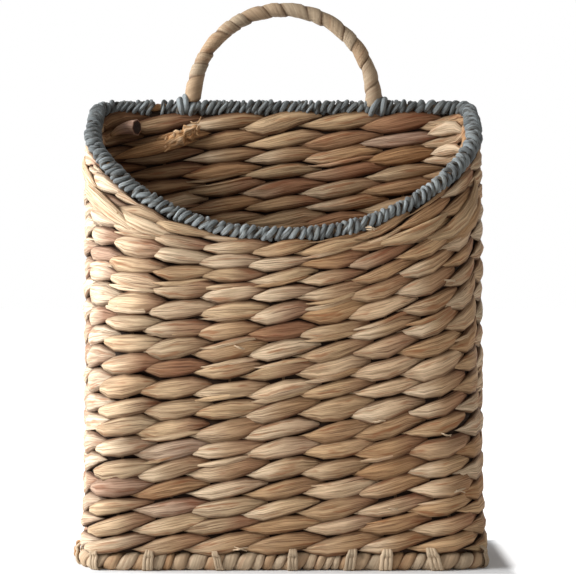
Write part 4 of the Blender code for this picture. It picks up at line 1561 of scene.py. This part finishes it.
def basket_material(name):
    """The basket's materials by name, made when they are first asked for."""
    made = bpy.data.materials.get(name)
    if made:
        return made
    windings = bpy.context.scene.basket_windings
    if name == "dull_iron":
        return wire_material(name, windings.wire)
    group = bpy.data.node_groups.get("Plant fibre") or plant_fibre_group()
    plain = windings.reed if name == "bent_reed" else None
    return fibre_material(name, group, plain=plain, **FIBRE_FINISHES[name])


# Operators

class BASKET_OT_twined_rows(Operator):
    """Lay the twined rows of the wall"""
    bl_idname = "basket.twined_rows"
    bl_label = "Twined rows"

    def execute(self, context):
        shape = model_lobe()
        material = basket_material("twined_hyacinth")
        for row in range(1, FULL_ROWS + SHORT_ROWS + 1):
            lay_row(row, shape, material, context.scene.basket_weave)
        weave_base(shape, material, context.scene.basket_weave)
        return {"FINISHED"}


class BASKET_OT_loose_leaves(Operator):
    """Lay the leaves beside the rim, the inner leaves, the cut strand and the torn leaf"""
    bl_idname = "basket.loose_leaves"
    bl_label = "Loose leaves"

    def execute(self, context):
        settings = context.scene.basket_weave
        draw = random.Random(settings.seed + 1)
        shape = model_lobe()
        material = basket_material("twined_hyacinth")
        for name, leaves in (("rim_side_leaves", RIM_SIDE_LEAVES), ("inner_leaves", INNER_LEAVES)):
            piece = Piece()
            for leaf in leaves:
                leaf.lay(piece, shape, settings, draw)
            piece.finish(name, material, "hyacinth_strand")
        for name, lay in (("cut_strand", lay_cut_strand), ("torn_leaf_fibres", lay_fray),
                          ("loose_fibres", lay_loose_fibres)):
            piece = Piece()
            lay(piece, settings, draw)
            piece.finish(name, material, "hyacinth_strand")
        return {"FINISHED"}


class BASKET_OT_rim(Operator):
    """Wind the slate cord round the mouth"""
    bl_idname = "basket.rim"
    bl_label = "Rim winding"

    def execute(self, context):
        settings = context.scene.basket_windings
        wind_rim(settings, basket_material("slate_cord"))
        lash_handle(settings, basket_material("slate_cord"))
        path = loop_path(rim_point, RIM_GAP_STAKE - BACK_STAKE, RIM_GAP_STAKE + BACK_STAKE)
        # The lining under the cord is made half as bright, as painted shade between the cord's
        # turns; near the gap it lies in the open and takes the warm leaf colour
        piece = Piece()
        wind_leaf(piece, path, RIM_LEAF_TURNS, RIM_RADIUS - RIM_LEAF_SUNK, settings,
                  random.Random(settings.seed + 4), width_spread=0.3, crown_height=0.0005,
                  across=3, around=8, gain=0.5)
        gap = rim_point(RIM_GAP_STAKE)
        for index, point in enumerate(piece.points):
            if (point - gap).length < RIM_GAP_NEAR:
                piece.colours[index] = shaded(settings.warm_leaf, 1.0)
        piece.finish("rim_leaf_lining", basket_material("wound_leaf"), "hyacinth_leaf")
        return {"FINISHED"}


class BASKET_OT_handle(Operator):
    """Wind the leaf round the handle"""
    bl_idname = "basket.handle"
    bl_label = "Handle winding"

    def execute(self, context):
        settings = context.scene.basket_windings
        piece = Piece()
        wind_leaf(piece, handle_path(), settings.handle_turns, HANDLE_RADIUS + HANDLE_PUFF,
                  settings, random.Random(settings.seed + 1), width_spread=0.4,
                  crown_height=0.0006, start=0.004, flare=0.0014, warmth=0.45, gain=0.81)
        piece.finish("handle_leaf_winding", basket_material("wound_leaf"), "hyacinth_leaf",
                     "handle_wrap")
        return {"FINISHED"}


class BASKET_OT_base_ring(Operator):
    """Wind the leaf round the base ring and tie it to the wall"""
    bl_idname = "basket.base_ring"
    bl_label = "Base ring winding"

    def execute(self, context):
        settings = context.scene.basket_windings
        draw = random.Random(settings.seed + 2)
        path = loop_path(ring_point, BACK_STAKE - 0.5, BACK_STAKE - 0.5 + ALL_STAKES)
        piece = Piece()
        wind_leaf(piece, path, settings.base_turns, BASE_RING_RADIUS, settings, draw,
                  width_spread=0.55, crown_height=0.0020, across=6, around=20, warmth=0.8,
                  phase=0.5, slant=0.0020)
        rest_on_floor(piece)
        piece.finish("base_leaf_winding", basket_material("wound_leaf"), "hyacinth_leaf",
                     "base_ring_wrap")
        ties = Piece()
        for place in TIE_PLACES:
            lay_tie(ties, place % ALL_STAKES, settings, draw)
        curl = smooth_route(wall_route(BASE_CURL))
        halves = [CURL_HALF * (1 + CURL_SWELL * smooth_noise(step, 5, 0.5))
                  for step in range(len(curl))]
        add_tube(ties, curl, halves, [shaded(settings.warm_leaf, 0.8)] * len(curl), sides=6,
                 flat=0.7)
        rest_on_floor(ties)
        ties.finish("base_tie_straps", basket_material("wound_leaf"), "hyacinth_leaf")
        return {"FINISHED"}


class BASKET_OT_frame_finish(Operator):
    """Give the frame's wires, the base's cross wires and the stakes their finishes"""
    bl_idname = "basket.frame_finish"
    bl_label = "Frame finishes"

    def execute(self, context):
        for name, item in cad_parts.items():
            if name.startswith(("frame_", "base_cross")):
                item.data.materials[0] = basket_material("dull_iron")
            elif name.startswith("stake_"):
                item.data.materials[0] = basket_material("bent_reed")
        return {"FINISHED"}


class BASKET_OT_stage(Operator):
    """Set the camera, the floor and the lights"""
    bl_idname = "basket.stage"
    bl_label = "Stage"

    def execute(self, context):
        settings = context.scene.basket_stage
        add_camera(context.scene, settings)
        add_floor(settings)
        add_lights(context.scene, settings)
        return {"FINISHED"}


def add_camera(scene, settings):
    data = bpy.data.cameras.new("camera")
    data.lens = settings.lens
    data.shift_x, data.shift_y = settings.shift_x, settings.shift_y
    data.clip_end = 50
    camera = bpy.data.objects.new("camera", data)
    camera.location = (0, -settings.camera_distance, settings.camera_height)
    camera.rotation_euler = (pi / 2, 0, 0)
    scene.collection.objects.link(camera)
    scene.camera = camera
    scene.view_settings.view_transform = "Standard"


FLOOR_SIZE = 12
FLOOR_GLOW = 0.84
FLOOR_GLOW_START = 0.010
FLOOR_GLOW_END = 0.022
WHITE = (1, 1, 1, 1)


def seen_rays(nodes):
    """1 for a ray of the camera, a gloss or glass, and 0 for the light on the basket."""
    light = nodes.add("ShaderNodeLightPath").outputs
    seen = nodes.maths("MAXIMUM", light["Is Camera Ray"], light["Is Glossy Ray"])
    return nodes.maths("MAXIMUM", seen, light["Is Transmission Ray"])


def add_floor(settings):
    """A pale floor that the camera sees as white except for the basket's shadow."""
    deselect_all()
    bpy.ops.mesh.primitive_plane_add(size=FLOOR_SIZE)
    ground = bpy.context.object
    ground.name = "floor"
    material, nodes, shader = new_material("pale_floor")
    shader["Base Color"].default_value = (*settings.floor, 1)
    shader["Roughness"].default_value = 0.9
    glow = nodes.add("ShaderNodeEmission")
    glow.inputs["Color"].default_value = WHITE
    place = nodes.add("ShaderNodeSeparateXYZ")
    nodes.join(nodes.add("ShaderNodeTexCoord").outputs["Object"], place.inputs[0])
    gaps = [nodes.maths("SUBTRACT", nodes.maths("ABSOLUTE", place.outputs[axis]), half)
            for axis, half in ((0, BASKET_WIDTH / 2), (1, BASKET_DEPTH / 2))]
    away = nodes.band(nodes.maths("MAXIMUM", *gaps), FLOOR_GLOW_START, FLOOR_GLOW_END)
    away = nodes.maths("MULTIPLY", away, FLOOR_GLOW)
    nodes.join(nodes.maths("MULTIPLY", seen_rays(nodes), away), glow.inputs["Strength"])
    surface = material.node_tree.nodes["Material Output"].inputs["Surface"]
    both = nodes.add("ShaderNodeAddShader")
    nodes.join(surface.links[0].from_socket, both.inputs[0])
    nodes.join(glow.outputs[0], both.inputs[1])
    nodes.join(both.outputs[0], surface)
    ground.data.materials.append(material)


# Lights: name, place, width, the setting with their power, and colour
LIGHTS = (("window_light", (-1.45, -0.46, 0.85), 0.9, "key_power", (0.97, 0.985, 1.0)),
          ("side_light", (-1.45, 0.22, 0.62), 0.45, "side_power", (0.84, 0.93, 1.0)),
          ("right_fill", (1.3, -1.2, 0.5), 1.2, "fill_power", (1.0, 0.93, 0.85)))
LIGHT_TARGET = Vector((0, 0, 0.16))


def add_lights(scene, settings):
    """Three soft round lights, and a world that the camera sees as white."""
    for name, place, width, power, colour in LIGHTS:
        data = bpy.data.lights.new(name, "AREA")
        data.shape, data.size = "DISK", width
        data.energy, data.color = getattr(settings, power), colour
        lamp = bpy.data.objects.new(name, data)
        lamp.location = place
        lamp.rotation_euler = (LIGHT_TARGET - Vector(place)).to_track_quat("-Z", "Y").to_euler()
        scene.collection.objects.link(lamp)
    world = bpy.data.worlds.new("white_room")
    scene.world = world
    world.use_nodes = True
    nodes = Nodes(world.node_tree)
    background = world.node_tree.nodes["Background"].inputs
    strength = nodes.maths("MULTIPLY_ADD", seen_rays(nodes), 1 - settings.sky, settings.sky)
    nodes.join(strength, background["Strength"])
    background["Color"].default_value = WHITE


STEPS = (BASKET_OT_stage, BASKET_OT_twined_rows, BASKET_OT_loose_leaves, BASKET_OT_rim,
         BASKET_OT_handle, BASKET_OT_base_ring, BASKET_OT_frame_finish)


class BASKET_PT_steps(Panel):
    """The steps that dress the basket, in order"""
    bl_label = "Wall basket"
    bl_idname = "BASKET_PT_steps"
    bl_space_type = "VIEW_3D"
    bl_region_type = "UI"
    bl_category = "Basket"

    def draw(self, context):
        for step in STEPS:
            self.layout.operator(step.bl_idname)


SETTINGS = {"basket_weave": WeaveSettings, "basket_windings": WindingSettings,
            "basket_stage": StageSettings}


def register():
    for kind in (*SETTINGS.values(), *STEPS, BASKET_PT_steps):
        bpy.utils.register_class(kind)
    for name, kind in SETTINGS.items():
        setattr(bpy.types.Scene, name, PointerProperty(type=kind))


def unregister():
    for name in SETTINGS:
        delattr(bpy.types.Scene, name)
    for kind in (*SETTINGS.values(), *STEPS, BASKET_PT_steps):
        bpy.utils.unregister_class(kind)


def main():
    register()
    for step in STEPS:
        group, name = step.bl_idname.split(".")
        getattr(getattr(bpy.ops, group), name)()


if __name__ == "__main__":
    main()
